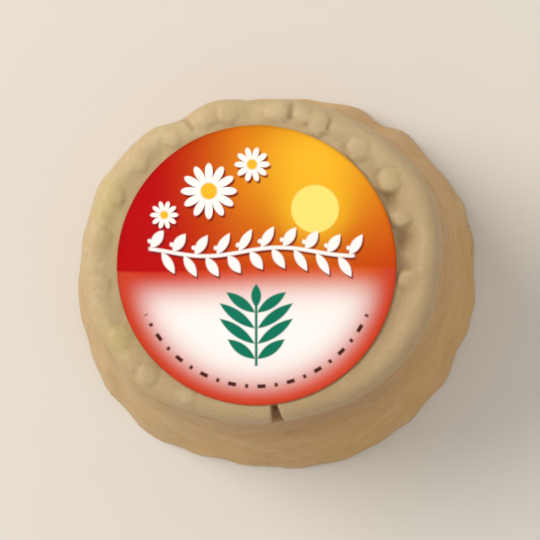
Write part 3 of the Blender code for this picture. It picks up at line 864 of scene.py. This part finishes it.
def fine_relief(form, places, angle, height):
    """The small forms along the normal: curd grains on the skirt, faint wrinkles above, lumps all over,
    torn scales and pits on the side."""
    flat = places.reshape(-1, 3)
    shape = places.shape[:2]
    ledge = ledge_line(form, angle)
    on_side = (height < form.side_top + 0.5 * form.arc_height) & (height > 0)
    skirt = on_side * ease((ledge + MM - height) / (2.5 * MM))
    upper = on_side * (1 - skirt)
    rim = (~on_side) & (height > form.side_top)
    away, around = round_label(form, places[..., 0], places[..., 1])
    bare = np.where(rim, ease((away - BARE_RING) / MM), 1) * rim_life(around)
    noises = [noise(flat, size, seed).reshape(shape) for size, seed in zip(LUMP_SIZES, LUMP_SEEDS)]
    medium = noises[1]
    curd = grains(flat + CURD_DRIFT * medium.reshape(-1, 1), form.curd_size, 43).reshape(shape)
    patches = ease(0.5 + 0.9 * noise(flat, 7 * MM, 47).reshape(shape))
    wrinkles = -np.abs(noise(flat * np.array((1, 1, 1.8)), WRINKLE_SIZE, 53)).reshape(shape)

    def lumps(reaches):
        """The sum of the noises, each times how far it reaches here."""
        return sum(reach * part for reach, part in zip(reaches, noises))

    out = skirt * (form.curd_relief * curd * (0.2 + 0.8 * patches) + lumps(SKIRT_LUMPS))
    out += upper * (WRINKLE_DEPTH * wrinkles * patches + lumps(UPPER_LUMPS))
    out += rim * (bare * lumps(RIM_LUMPS) + (1 - bare) * lumps(LABELLED_LUMPS))
    out += on_side * (torn_scales(angle, height, medium) - side_pits(form, angle, height))
    return out * ease(height / (0.6 * MM))


def held_in(form, places):
    """Places that reach past the cheese's box are drawn back to just inside it."""
    low, high = (np.array(corner)[:2] - base_middle(form) for corner in CAD_BOX)
    return np.clip(places, low + BOX_MARGIN, high - BOX_MARGIN)


def body_places(form):
    """The grid of the finished body: turned, weathered, with its knobs, cracks and fine relief."""
    radius, height = (row[:, None] for row in turned_rows(form))
    angle = ROUND * np.arange(COLUMNS)[None, :] / COLUMNS
    top = top_places(form, angle, radius)
    side = side_places(form, angle, radius, height)
    on_top = height > form.side_top + 0.01 * MM
    places = np.where(on_top[..., None], top, side)
    uneven = noise(places.reshape(-1, 3), KNOB_WOBBLE_SIZE, 59).reshape(places.shape[:2])
    crown = places[on_top[:, 0]].copy()
    raise_knobs(form, crown, uneven[on_top[:, 0]])
    fade = np.clip((form.mean_top - radius[on_top[:, 0]]) / (0.35 * form.arc_width), 0, 1)
    places[on_top[:, 0], :, 2] += (crown[..., 2] - places[on_top[:, 0], :, 2]) * fade
    normals = normals_of(places)
    near_rim = ease((height - form.side_top + CRACK_BELOW) / CRACK_FADE)
    cut = cracks(form, places) * near_rim
    places = places + normals * (fine_relief(form, places, angle, height) - cut)[..., None]
    places[..., 2] = np.maximum(places[..., 2], 0)
    places[..., :2] = held_in(form, places[..., :2])
    return places, angle, height, cut


def relief_shading(places, angle, cut):
    """Painted shade in recesses and painted highlight on crests: how far the surface lies under its
    softened self, near by and farther away. Cracks add painted shade.
    """
    normals = normals_of(places)
    small, broad = (
        ((softened(places, times) - places) * normals).sum(axis=-1) / depth
        for times, depth in (SMALL_HOLLOWS, BROAD_HOLLOWS)
    )
    both = 0.5 * np.clip(small, -1, 1) + 0.8 * np.clip(broad, -1, 1.4)
    return both * rim_life(angle) + 0.5 * cut / MM


def yellow_spots(form, places):
    """The sum of the yellowish spots, each a bell round its middle."""
    x, y = places[..., 0], places[..., 1]
    yellow = np.zeros_like(x)
    for degrees, distance, radius, strength in YELLOW_SPOTS:
        yellow += strength * bell(off_spot(form, x, y, degrees, distance), 0, radius)
    return yellow


def body_shares(form, places, angle, height, cut):
    """The shares that the rind's material reads. The rim's colour eases into the side's, most slowly on
    the right. The side is painted paler on the left, where light falls, and golden on the right, partly
    its own tan and partly painted warm shade. Painted brown shade lies under the rim at the front and
    right, on the rim's front and in the crease, bells and half cosines of the direction, and in the
    cracks."""
    fade = RIM_FADE + RIM_FADE_MORE * facing(angle, RIM_FADE_WAY, 1.5)
    rim = ease((height + 0.3 * MM * np.sin(3 * angle) - form.side_top - 1.2 * MM + fade) / fade)
    side = 1 - rim
    scales = torn_scales(angle, height, np.zeros(places.shape[:2]))
    # Painted light: the left side is paler where the light falls on it.
    pale = bell(angle_from(angle, LIT_SIDE[0]), 0, LIT_SIDE[1]) * side
    # Painted shade on the side under the rim, at the front and on the right.
    under_rim = sum(amount * bell(angle_from(angle, at), 0, half) for at, half, amount in SHADE_UNDER_RIM)
    under_rim = under_rim * (0.45 + 0.85 * bell(height, SHADE_HEIGHT, SHADE_REACH)) * side
    # Painted shade on the rim's front and right.
    painted_rim_shade = SHADED_RIM[1] * facing(angle, SHADED_RIM[0], TINT_SHARPNESS) * rim
    # Painted shade in the crease under the rim.
    crease = bell(angle_from(angle, CREASE_SHADE[0]), 0, CREASE_SHADE[1])
    crease = 0.3 * crease * bell(height, form.crease_height, 0.8 * MM)
    # All the painted shade: under the rim, on the rim, in the cracks and in the crease, with a trace on
    # the lit left side.
    brown = under_rim + painted_rim_shade + 0.5 * cut / MM + crease + 0.07 * pale
    return {
        # Painted shade in recesses and cracks, painted highlight on crests.
        "relief_shade": relief_shading(places, angle, cut),
        # The left side's painted light lifts it towards the rim's cream.
        "rim_share": np.maximum(np.maximum(rim, 0.6 * ease(scales / (0.5 * MM))), 0.42 * pale),
        "skirt_share": ease((ledge_line(form, angle) + MM - height) / (3 * MM)),
        "yellow_share": yellow_spots(form, places) * rim,
        # Golden tint: partly the side's own tan, partly painted warm shade on the right.
        "golden_and_shade_share": GOLDEN_AND_SHADED_SIDE[1] * facing(angle, GOLDEN_AND_SHADED_SIDE[0], TINT_SHARPNESS) * side,
        "painted_shade_share": np.clip(brown, 0, 0.9),
    }


def closed_points(form, places):
    """A turned grid's points and its two poles, which come last, in the frame."""
    poles = np.array((places[0].mean(axis=0), places[-1].mean(axis=0)))
    points = np.concatenate((places.reshape(-1, 3), poles))
    points[:, :2] += base_middle(form)
    return points


def make_body(form):
    """The body as one closed mesh, with the shares that its material reads."""
    places, angle, height, cut = body_places(form)
    rows, columns = places.shape[:2]
    body = mesh_object("cheese_body", closed_points(form, places), *turned_faces(rows, columns))
    for name, values in body_shares(form, places, angle, height, cut).items():
        set_share(body, name, np.append(np.broadcast_to(values, (rows, columns)).ravel(), (0.0, 0.0)))
    return body


# Crumbs


def on_side(form, degrees, height):
    """A place on the side, and the way out of it."""
    angle = np.radians(np.atleast_1d(np.asarray(degrees, float)))
    height = np.atleast_1d(np.asarray(height, float))
    radius = side_radius(form, angle, height) + side_relief(form, angle, height)
    middle_x, middle_y = section_middle(form, height)
    out = np.stack((np.cos(angle), np.sin(angle), 0 * angle), axis=-1)
    place = np.stack((middle_x, middle_y, height), axis=-1) + radius[:, None] * out
    return place, out


def unit_ball():
    """A ball's points, ring after ring from the top down, with its poles last."""
    turn = ROUND * np.arange(CRUMB_SEGMENTS) / CRUMB_SEGMENTS
    tilt = math.pi * np.arange(1, CRUMB_RINGS + 1)[:, None] / (CRUMB_RINGS + 1)
    x = np.sin(tilt) * np.cos(turn)
    y = np.sin(tilt) * np.sin(turn)
    ring = np.stack((x, y, np.cos(tilt) + 0 * turn), axis=-1)
    return np.concatenate((ring.reshape(-1, 3), ((0, 0, 1.0), (0, 0, -1.0))))


def crumb_spots():
    """Angle, height and radius of each crumb: the CAD's own along the base, then seeded finer ones.
    The CAD's crumbs keep their places, so the numbers for their corners are drawn here too."""
    random = np.random.default_rng(CRUMB_SEED)
    spots = []
    for number in range(CRUMBS):
        degrees = random.uniform(0, 360) if number % 3 else random.uniform(*CRUMB_FRONT)
        radius = random.uniform(*CRUMB_RADIUS)
        random.uniform(-1, 1, size=CRUMB_CORNERS)
        spots.append((degrees, radius * random.uniform(1.3, 2.6), 0.7 * radius))
    for number in range(FINE_CRUMBS):
        degrees = random.uniform(90, 360) if number % 2 else random.uniform(*FINE_CRUMB_FRONT)
        radius = random.uniform(*FINE_CRUMB_RADIUS)
        spots.append((degrees, radius + FINE_CRUMB_REACH * random.uniform(0, 1) ** 2.5, radius))
    return np.array(spots)


def make_crumbs(form):
    """All crumbs as one piece of closed uneven balls, each with its root inside the body: a ball
    stretched along its axes, and its radius times 1 plus half a noise."""
    ball = unit_ball()
    spots = crumb_spots()
    place, out = on_side(form, spots[:, 0], spots[:, 1])
    random = np.random.default_rng(67)
    stretch = random.uniform(0.6, 1.25, size=(len(spots), 1, 3))
    shift = random.uniform(0, 50, size=(len(spots), 1, 3))
    lumps = noise((ball * 1.4 + shift).reshape(-1, 3), 1.0, 71).reshape(len(spots), -1, 1)
    radius = spots[:, 2][:, None, None]
    crumbs = (place - 0.45 * spots[:, 2:3] * out)[:, None, :] + ball * stretch * radius * (1 + 0.5 * lumps)
    crumbs[..., 2] = np.maximum(crumbs[..., 2], 0.02 * MM)
    crumbs[..., :2] = held_in(form, crumbs[..., :2])
    points = crumbs.reshape(-1, 3)
    points[:, :2] += base_middle(form)
    starts = (len(ball) * np.arange(len(spots)))[:, None, None]
    quads, triangles = (faces + starts for faces in turned_faces(CRUMB_RINGS, CRUMB_SEGMENTS))
    piece = mesh_object("curd_crumbs", points, quads.reshape(-1, 4), triangles.reshape(-1, 3))
    for name, value in CRUMB_SHARES.items():
        set_share(piece, name, np.full(len(points), value))
    return piece


# The label


def label_lift(form, design, x, y):
    """The paper's underside above the smooth top: a steady lift, damp waves and edges that curl up."""
    away, around = round_label(form, x, y)
    out = away / (design.diameter / 2)
    waves = soft_lumps(x, y, 0 * x, 9 * MM, waves=12, seed=5)
    ripples = np.sin(around * LABEL_RIPPLES + 1.5 * np.sin(2 * around)) * ease((out - 0.8) / 0.2)
    curl = sum(part * bell(angle_from(around, at), 0, half) for at, half, part in LABEL_CURLS)
    lift = design.lift + design.waves * np.clip(0.5 + 0.5 * waves, 0, 1.4) + LABEL_RIPPLE * (1 + ripples)
    return lift + LABEL_CURL * curl * ease((out - 0.72) / 0.28) ** 2


def make_label(form, design):
    """A disc of paper: rings over the upper face, a rounded cut edge, and rings back under it."""
    radius = design.diameter / 2
    middle = label_middle(form)
    upper = radius * np.linspace(0, 1, LABEL_RINGS + 1)[1:] - 0.25 * design.thickness
    bend = np.linspace(math.pi / 2, -math.pi / 2, 7)[1:-1]
    edge = radius - 0.25 * design.thickness * (1 - np.cos(bend))
    rings = np.concatenate((upper, edge, upper[::-1]))[:, None]
    rounding = 0.5 + 0.5 * np.sin(bend)
    level = np.concatenate((np.ones(LABEL_RINGS), rounding, np.zeros(LABEL_RINGS)))[:, None]
    angle = ROUND * np.arange(LABEL_COLUMNS)[None, :] / LABEL_COLUMNS
    x = middle[0] + rings * np.cos(angle)
    y = middle[1] + rings * np.sin(angle)
    z = smooth_top(form, x, y) + label_lift(form, design, x, y) + level * design.thickness
    points = closed_points(form, np.stack((x, y, z), axis=-1))
    label = mesh_object("paper_label", points, *turned_faces(len(rings), LABEL_COLUMNS))
    printed = np.append(np.broadcast_to(level > 0.1, x.shape).ravel(), (1.0, 0.0))
    set_share(label, "printed", printed)
    return label


# Materials


class Formula:
    """A number in a material, worked out by Math nodes. It takes +, -, * and / like any number."""

    def __init__(self, tree, socket):
        self.tree = tree
        self.socket = socket

    def math(self, operation, *others):
        node = self.tree.nodes.new("ShaderNodeMath")
        node.operation = operation
        self.tree.links.new(self.socket, node.inputs[0])
        for place, other in enumerate(others, start=1):
            if isinstance(other, Formula):
                self.tree.links.new(other.socket, node.inputs[place])
            else:
                node.inputs[place].default_value = other
        return Formula(self.tree, node.outputs[0])

    def __add__(self, other):
        return self.math("ADD", other)

    def __sub__(self, other):
        return self.math("SUBTRACT", other)

    def __mul__(self, other):
        return self.math("MULTIPLY", other)

    def __truediv__(self, other):
        return self.math("DIVIDE", other)

    def __neg__(self):
        return self * -1.0

    def __abs__(self):
        return self.math("ABSOLUTE")

    def sin(self):
        return self.math("SINE")

    def cos(self):
        return self.math("COSINE")

    def power(self, exponent):
        return self.math("POWER", exponent)

    def least(self, other):
        return self.math("MINIMUM", other)

    def most(self, other):
        return self.math("MAXIMUM", other)

    def whole(self):
        return self.math("FLOOR")

    def fraction(self):
        return self.math("FRACT")

    def clamped(self):
        return self.most(0.0).least(1.0)

    def inside(self, softness):
        """1 where the number is below 0 and 0 where it is above, with a soft edge."""
        return (-self / softness + 0.5).clamped()

    def bell(self, half):
        """e to the minus square of the number over the half-width."""
        scaled = self / half
        return (-(scaled * scaled)).math("EXPONENT")


def new_material(name):
    """A material with a Principled shader, its tree and that shader."""
    made = bpy.data.materials.new(name)
    made.use_nodes = True
    return made, made.node_tree, made.node_tree.nodes["Principled BSDF"]


def object_places(tree, middle=(0.0, 0.0, 0.0), size=1.0):
    """Object coordinates measured from a middle, in units of a size."""
    coordinates = tree.nodes.new("ShaderNodeTexCoord")
    mapping = tree.nodes.new("ShaderNodeMapping")
    mapping.inputs["Location"].default_value = [-value / size for value in middle]
    mapping.inputs["Scale"].default_value = (1 / size,) * 3
    tree.links.new(coordinates.outputs["Object"], mapping.inputs["Vector"])
    return mapping.outputs["Vector"]


def speckle(tree, places, size, detail=2.0, roughness=0.5):
    """A Noise Texture whose lumps are about size across, between 0 and 1."""
    node = tree.nodes.new("ShaderNodeTexNoise")
    node.inputs["Scale"].default_value = 1 / size
    node.inputs["Detail"].default_value = detail
    node.inputs["Roughness"].default_value = roughness
    tree.links.new(places, node.inputs["Vector"])
    return Formula(tree, node.outputs["Fac"])


def pore(tree, places, spacing, radius):
    """1 inside small round pores, one to a cell of a Voronoi Texture, and 0 outside them."""
    node = tree.nodes.new("ShaderNodeTexVoronoi")
    node.inputs["Scale"].default_value = 1 / spacing
    tree.links.new(places, node.inputs["Vector"])
    return (Formula(tree, node.outputs["Distance"]) - radius / spacing).inside(0.5 * radius / spacing)


def attribute(tree, name):
    """A number that the piece's points keep."""
    node = tree.nodes.new("ShaderNodeAttribute")
    node.attribute_name = name
    return Formula(tree, node.outputs["Fac"])


def painted(tree, factor, under, over, blend="MIX"):
    """One colour over another, by a factor from 0 to 1. Colours are sockets or three numbers."""
    node = tree.nodes.new("ShaderNodeMix")
    node.data_type = "RGBA"
    node.blend_type = blend
    tree.links.new(factor.socket, node.inputs["Factor"])
    for socket, value in ((node.inputs["A"], under), (node.inputs["B"], over)):
        if isinstance(value, bpy.types.NodeSocket):
            tree.links.new(value, socket)
        else:
            socket.default_value = (*value, 1.0)
    return node.outputs["Result"]


def bumped(tree, shader, height, distance, strength=1.0):
    """Fine relief in the shading, from a height between 0 and 1."""
    node = tree.nodes.new("ShaderNodeBump")
    node.inputs["Distance"].default_value = distance
    node.inputs["Strength"].default_value = strength
    tree.links.new(height.socket, node.inputs["Height"])
    tree.links.new(node.outputs["Normal"], shader.inputs["Normal"])


def rind_material(finish):
    """Damp young rind: cream rim, tan side, yellow spots, mottled, with fine pores. Painted brown shade in
    recesses, in cracks and under the rim, and a painted pale highlight on crests.
    """
    made, tree, shader = new_material("damp_rind")
    places = object_places(tree)
    broad = speckle(tree, places, 6.5 * MM)
    mottle = speckle(tree, places, 1.6 * MM, 3.0)
    fine = speckle(tree, places, 0.35 * MM, 3.0, 0.6)
    # Painted shade in recesses and cracks where positive, painted highlight on crests where negative.
    relief_shade = attribute(tree, "relief_shade")
    skirt = painted(tree, attribute(tree, "skirt_share"), finish.side_colour, finish.skirt_colour)
    # Golden tint: partly the side's own tan, partly painted warm shade on the right.
    skirt = painted(tree, attribute(tree, "golden_and_shade_share"), skirt, finish.golden_and_shade_colour)
    base = painted(tree, attribute(tree, "rim_share"), skirt, finish.rim_colour)
    base = painted(tree, attribute(tree, "yellow_share") * 0.7, base, finish.yellow_colour)
    warm = ((broad - 0.5) * 2.4 + 0.25).clamped() * (attribute(tree, "rim_share") * -0.2 + 0.45)
    base = painted(tree, warm, base, finish.warm_colour)
    pale = ((mottle - 0.55) * 4.0).clamped() * 0.35
    base = painted(tree, pale, base, finish.fleck_and_highlight_colour)
    pores = pore(tree, places, 1.1 * MM, 0.14 * MM) * ((mottle - 0.42) * 6.0).clamped()
    specks = ((fine - 0.62) * 6.0).clamped() * 0.25
    base = painted(tree, (pores * 0.22).most(specks), base, finish.pore_and_shade_colour)
    # Painted shade under the rim, on the rim's front, in the crease and in the cracks.
    base = painted(tree, attribute(tree, "painted_shade_share"), base, finish.painted_shade_colour)
    # Painted shade in recesses and cracks.
    deep = (relief_shade * 0.5 - 0.08).clamped() * 0.8
    base = painted(tree, deep, base, finish.pore_and_shade_colour)
    # Painted highlight on crests.
    painted_highlight = (-relief_shade * 0.35).clamped() * 0.5
    base = painted(tree, painted_highlight, base, finish.fleck_and_highlight_colour)
    tree.links.new(base, shader.inputs["Base Color"])
    roughness = (mottle - 0.5) * 0.35 + (fine - 0.5) * 0.2 + relief_shade * 0.05 + finish.roughness
    tree.links.new(roughness.clamped().socket, shader.inputs["Roughness"])
    shader.inputs["Subsurface Weight"].default_value = finish.glow
    shader.inputs["Subsurface Radius"].default_value = (1.0, 0.62, 0.36)
    shader.inputs["Subsurface Scale"].default_value = 1.4 * MM
    shader.inputs["Specular IOR Level"].default_value = 0.32
    dust = speckle(tree, places, 0.16 * MM, 2.0)
    grain = speckle(tree, places, 0.8 * MM, 2.0) * 0.9 + fine * 0.6 + dust * 0.3
    bumped(tree, shader, grain - pores * 0.5, 0.07 * MM, 0.8)
    return made


def away_from(x, y, middle_x, middle_y):
    """How far places lie from a spot: the root of the sum of the squares."""
    return ((x - middle_x).power(2.0) + (y - middle_y).power(2.0)).power(0.5)


def leaf(x, y, middle_x, middle_y, turn, reach, half_width):
    """A pointed leaf: where the way across is less than half_width (1 - (2 along / reach) squared)."""
    off_x = x - middle_x
    off_y = y - middle_y
    along = off_x * math.cos(turn) + off_y * math.sin(turn)
    across = off_y * math.cos(turn) - off_x * math.sin(turn)
    scaled = along / (reach / 2)
    return (abs(across) + scaled * scaled * half_width - half_width).inside(LEAF_SOFTNESS)


def vine(x, y):
    """A wavy stem, a sine of x, with leaves to both sides that repeat along it and berries above."""
    off = y - ((x * 6.0 + 0.6).sin() * 0.03 + 0.095)
    stem = (abs(off) - 0.013).inside(LEAF_SOFTNESS) * (abs(x + 0.035) - 0.735).inside(0.02)
    along = (x / VINE_STEP).fraction() * VINE_STEP - VINE_STEP / 2
    other = (x / VINE_STEP + 0.5).fraction() * VINE_STEP - VINE_STEP / 2
    berry = (away_from(along, off, -0.052, 0.055) - 0.016).inside(LEAF_SOFTNESS)
    above = leaf(along, off, 0.0, VINE_LEAF_OFF, 1.0, VINE_LEAF, VINE_LEAF_HALF).most(berry)
    above = above * (abs(x) - VINE_ABOVE / 2 * VINE_STEP).inside(0.01)
    below = leaf(other, off, 0.0, -VINE_LEAF_OFF, -1.0, VINE_LEAF, VINE_LEAF_HALF)
    below = below * (abs(x) - VINE_BELOW / 2 * VINE_STEP).inside(0.01)
    return stem.most(above).most(below)


def daisy(x, y, middle_x, middle_y, radius, petals):
    """A flower's petals and its eye: the petals' outline is the radius times a wave of the angle."""
    away = away_from(x, y, middle_x, middle_y)
    angle = (y - middle_y).math("ARCTAN2", x - middle_x)
    wave = abs((angle * (petals / 2)).cos()).power(0.6)
    outline = (wave * 0.62 + 0.38) * radius
    return (away - outline).inside(INK_SOFTNESS), (away - 0.30 * radius).inside(INK_SOFTNESS)


def sprig(x, y):
    """An upright stem with four pairs of leaves and one at its tip."""
    side = abs(x)
    stem = (side - 0.010).inside(LEAF_SOFTNESS) * (abs(y + 0.50) - 0.22).inside(LEAF_SOFTNESS)
    shape = stem.most(leaf(side, y, 0.0, -0.22, math.pi / 2, 0.17, 0.036))
    for level, reach in SPRIG_LEAVES:
        middle = level + 0.4 * reach * math.tan(SPRIG_TURN)
        pair = leaf(side, y, 0.5 * reach, middle, SPRIG_TURN, reach * 1.15, SPRIG_LEAF_HALF)
        shape = shape.most(pair)
    return shape


def edge_dashes(x, y, away):
    """Short dashes and dots by turns along the lower edge, on a ring inside it."""
    angle = y.math("ARCTAN2", x)
    steps = angle / DASH_STEP
    odd = (steps.whole() * 0.5).fraction() * 2.0
    half = odd * 0.17 + 0.11
    marks = (abs(steps.fraction() - 0.5) - half).inside(0.12)
    ring = (abs(away - DASH_RING) - DASH_HALF).inside(0.010)
    lower = (abs(angle + math.pi / 2) - DASH_REACH).inside(0.02)
    return marks * ring * lower


def label_print(tree, design, places):
    """The printed colours, in the label's radii from its middle: a sky from red to orange and yellow
    with a plain sun above, paper with a tinted edge below, a vine, daisies, a sprig and dashes."""
    split = tree.nodes.new("ShaderNodeSeparateXYZ")
    tree.links.new(places, split.inputs["Vector"])
    x, y = (Formula(tree, split.outputs[axis]) for axis in ("X", "Y"))
    away = (x * x + y * y).power(0.5)
    ground = (x * 2.6 + 0.4).sin() * 0.02 - 0.03

    across = ((x + 0.74) / 0.6).clamped().power(1.6)
    upward = (y / 0.6).clamped() * 0.55 + 0.45
    sky = painted(tree, across * upward, design.red, design.orange)
    glow = away_from(x, y, SKY_GLOW[0], SKY_GLOW[1]).bell(SKY_GLOW[2])
    sky = painted(tree, glow, sky, design.yellow)
    from_sun = away_from(x, y, SUN[0], SUN[1]) - SUN[2]
    sky = painted(tree, from_sun.bell(0.10) * 0.6, sky, design.yellow)
    sky = painted(tree, from_sun.inside(INK_SOFTNESS), sky, design.sun)

    under = painted(tree, (x * 0.5 + 0.5).clamped(), design.lower_left, design.lower_right)
    below = painted(tree, (ground - y).bell(0.18), design.paper, under)
    below = painted(tree, (away - 0.985).bell(0.17), below, design.edge)
    face = painted(tree, (y - ground).inside(0.02), sky, below)

    shade_x = x - LEAF_SHADOW[0]
    shade_y = y - LEAF_SHADOW[1]
    face = painted(tree, vine(shade_x, shade_y) * 0.85, face, design.shadow)
    face = painted(tree, vine(x, y), face, design.paper)
    for flower_shape in DAISIES:
        shade, _ = daisy(shade_x, shade_y, *flower_shape)
        face = painted(tree, shade * 0.85, face, design.shadow)
        flower, eye = daisy(x, y, *flower_shape)
        face = painted(tree, flower, face, design.paper)
        face = painted(tree, eye, face, design.yellow)
    face = painted(tree, sprig(x, y), face, design.green)
    face = painted(tree, edge_dashes(x, y, away), face, design.dark)
    # Painted shade: a thin darker ring along the paper's edge.
    return painted(tree, (-away + 0.985).inside(0.02) * 0.25, face, (0.25, 0.16, 0.10), "MULTIPLY")


def paper_material(form, design):
    """Coated paper: printed above and white below and along its cut edge, with a faint fibre relief."""
    made, tree, shader = new_material("printed_label")
    middle = label_middle(form) + base_middle(form)
    face = label_print(tree, design, object_places(tree, (*middle, 0.0), design.diameter / 2))
    places = object_places(tree)
    fibre = speckle(tree, places, 0.22 * MM, 3.0)
    cloud = speckle(tree, places, 3.5 * MM, 2.0)
    face = painted(tree, cloud, face, (0.95, 0.95, 0.95), "MULTIPLY")
    both = painted(tree, attribute(tree, "printed"), design.paper, face)
    tree.links.new(both, shader.inputs["Base Color"])
    roughness = (cloud - 0.5) * 0.16 + (fibre - 0.5) * 0.12 + design.roughness
    tree.links.new(roughness.clamped().socket, shader.inputs["Roughness"])
    shader.inputs["Specular IOR Level"].default_value = 0.1
    bumped(tree, shader, fibre, 0.012 * MM, 0.5)
    return made


def floor_material(stage):
    """A plain pale matt floor with a barely uneven tone."""
    made, tree, shader = new_material("pale_floor")
    tone = speckle(tree, object_places(tree), 0.12, 2.0)
    darker = [value * 0.97 for value in stage.floor_colour]
    tree.links.new(painted(tree, tone, stage.floor_colour, darker), shader.inputs["Base Color"])
    shader.inputs["Roughness"].default_value = 0.75
    return made


# The stage


def make_floor(stage):
    """A round floor: rings of points from the middle outwards, level with the base."""
    turn = ROUND * np.arange(FLOOR_CORNERS) / FLOOR_CORNERS
    rings = stage.floor_radius * np.arange(1, FLOOR_RINGS + 1) / FLOOR_RINGS
    x = rings[:, None] * np.cos(turn)
    y = rings[:, None] * np.sin(turn)
    points = np.concatenate((np.stack((x, y, 0 * x), axis=-1).reshape(-1, 3), ((0, 0, 0.0),)))
    ring = np.arange(FLOOR_CORNERS)
    after = (ring + 1) % FLOOR_CORNERS
    start = np.arange(FLOOR_RINGS - 1)[:, None] * FLOOR_CORNERS
    outer = start + FLOOR_CORNERS
    quads = np.stack((start + ring, outer + ring, outer + after, start + after), axis=-1)
    cap = np.stack((np.full(FLOOR_CORNERS, len(points) - 1), ring, after), axis=-1)
    return mesh_object("studio_floor", points, quads.reshape(-1, 4), cap)


def aimed(place, target, up):
    """The turn of a camera or lamp that looks along its -Z at a target, with its Y axis towards up."""
    back = np.asarray(place, float) - np.asarray(target, float)
    back /= np.linalg.norm(back)
    right = np.cross(up, back)
    right /= np.linalg.norm(right)
    return [list(row) for row in np.column_stack((right, np.cross(back, right), back))]


def put(name, data, place, target, up):
    """An object at a place, looking at a target."""
    obj = bpy.data.objects.new(name, data)
    obj.matrix_world = Matrix.Translation(Vector(place)) @ Matrix(aimed(place, target, up)).to_4x4()
    bpy.context.scene.collection.objects.link(obj)
    return obj


def softbox(name, lamp, strength):
    """A round soft lamp, aimed at the cheese."""
    place, width, tint = lamp
    data = bpy.data.lights.new(name, "AREA")
    data.shape = "DISK"
    data.size = width
    data.energy = strength
    data.color = tint
    put(name, data, place, LAMP_TARGET, (0.0, 0.0, 1.0))


def light_stage(stage):
    """A large soft key light from the back left, a weak fill from the front right, and an even sky."""
    softbox("key_softbox", KEY_LAMP, stage.key_power)
    softbox("fill_softbox", FILL_LAMP, stage.fill_power)
    world = bpy.data.worlds.new("even_sky")
    world.use_nodes = True
    background = world.node_tree.nodes["Background"]
    background.inputs["Color"].default_value = SKY_TINT
    background.inputs["Strength"].default_value = stage.sky
    bpy.context.scene.world = world


def make_camera(form, stage):
    """A camera nearly straight above, a little to the front and right, with +Y up in the picture."""
    middle = base_middle(form)
    place = (middle[0] + stage.camera_right, middle[1] - stage.camera_front, stage.camera_height)
    target = (middle[0], middle[1] + CAMERA_AIM_BACK, 0.5 * form.height)
    data = bpy.data.cameras.new("top_camera")
    data.sensor_width = 36.0
    data.angle = stage.field_of_view
    data.clip_start = 0.01
    bpy.context.scene.camera = put("top_camera", data, place, target, (0.0, 1.0, 0.0))
    bpy.context.scene.view_settings.view_transform = "Standard"


# The add-on


class GOAT_CHEESE_OT_body(bpy.types.Operator):
    """Make the cheese's body with its knobbly rim and grainy skirt"""

    bl_idname = "goat_cheese.body"
    bl_label = "Cheese body"
    bl_options = {"REGISTER", "UNDO"}

    def execute(self, context):
        scene = context.scene
        body = make_body(scene.goat_cheese_form)
        body.data.materials.append(rind_material(scene.goat_cheese_rind))
        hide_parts("cheese")
        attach(body, BODY)
        return {"FINISHED"}


class GOAT_CHEESE_OT_crumbs(bpy.types.Operator):
    """Make the crumbs along the base and the finer ones above them"""

    bl_idname = "goat_cheese.crumbs"
    bl_label = "Crumbs"
    bl_options = {"REGISTER", "UNDO"}

    def execute(self, context):
        crumbs = make_crumbs(context.scene.goat_cheese_form)
        crumbs.data.materials.append(bpy.data.materials["damp_rind"])
        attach(crumbs, BODY)
        return {"FINISHED"}


class GOAT_CHEESE_OT_label(bpy.types.Operator):
    """Make the round printed paper label"""

    bl_idname = "goat_cheese.label"
    bl_label = "Paper label"
    bl_options = {"REGISTER", "UNDO"}

    def execute(self, context):
        scene = context.scene
        label = make_label(scene.goat_cheese_form, scene.goat_cheese_label)
        label.data.materials.append(paper_material(scene.goat_cheese_form, scene.goat_cheese_label))
        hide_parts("label")
        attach(label, BODY)
        return {"FINISHED"}


class GOAT_CHEESE_OT_stage(bpy.types.Operator):
    """Make the floor, the soft lights and the camera"""

    bl_idname = "goat_cheese.stage"
    bl_label = "Stage"
    bl_options = {"REGISTER", "UNDO"}

    def execute(self, context):
        stage = context.scene.goat_cheese_stage
        floor = make_floor(stage)
        floor.data.materials.append(floor_material(stage))
        light_stage(stage)
        make_camera(context.scene.goat_cheese_form, stage)
        return {"FINISHED"}


class GOAT_CHEESE_PT_panel(bpy.types.Panel):
    """The steps in order, with the values that each one reads"""

    bl_label = "Goat Cheese"
    bl_idname = "GOAT_CHEESE_PT_panel"
    bl_space_type = "VIEW_3D"
    bl_region_type = "UI"
    bl_category = "Goat Cheese"

    def draw(self, context):
        scene = context.scene
        for operator, group in STEPS:
            self.layout.operator(operator.bl_idname)
            box = self.layout.box()
            for name in getattr(scene, group).__annotations__:
                box.prop(getattr(scene, group), name)


GROUPS = {
    "goat_cheese_form": CheeseForm,
    "goat_cheese_rind": RindFinish,
    "goat_cheese_label": LabelDesign,
    "goat_cheese_stage": StudioStage,
}
STEPS = (
    (GOAT_CHEESE_OT_body, "goat_cheese_form"),
    (GOAT_CHEESE_OT_crumbs, "goat_cheese_rind"),
    (GOAT_CHEESE_OT_label, "goat_cheese_label"),
    (GOAT_CHEESE_OT_stage, "goat_cheese_stage"),
)
CLASSES = (*GROUPS.values(), *(operator for operator, _ in STEPS), GOAT_CHEESE_PT_panel)


def register():
    """Adds the classes, and the scene's values."""
    for cls in CLASSES:
        bpy.utils.register_class(cls)
    for name, group in GROUPS.items():
        setattr(bpy.types.Scene, name, bpy.props.PointerProperty(type=group))


def unregister():
    """Takes the scene's values and the classes away."""
    for name in GROUPS:
        delattr(bpy.types.Scene, name)
    for cls in reversed(CLASSES):
        bpy.utils.unregister_class(cls)


def main():
    """Makes the pieces in order, and keeps the sizes."""
    register()
    bpy.ops.goat_cheese.body()
    bpy.ops.goat_cheese.crumbs()
    bpy.ops.goat_cheese.label()
    bpy.ops.goat_cheese.stage()


if __name__ == "__main__":
    main()
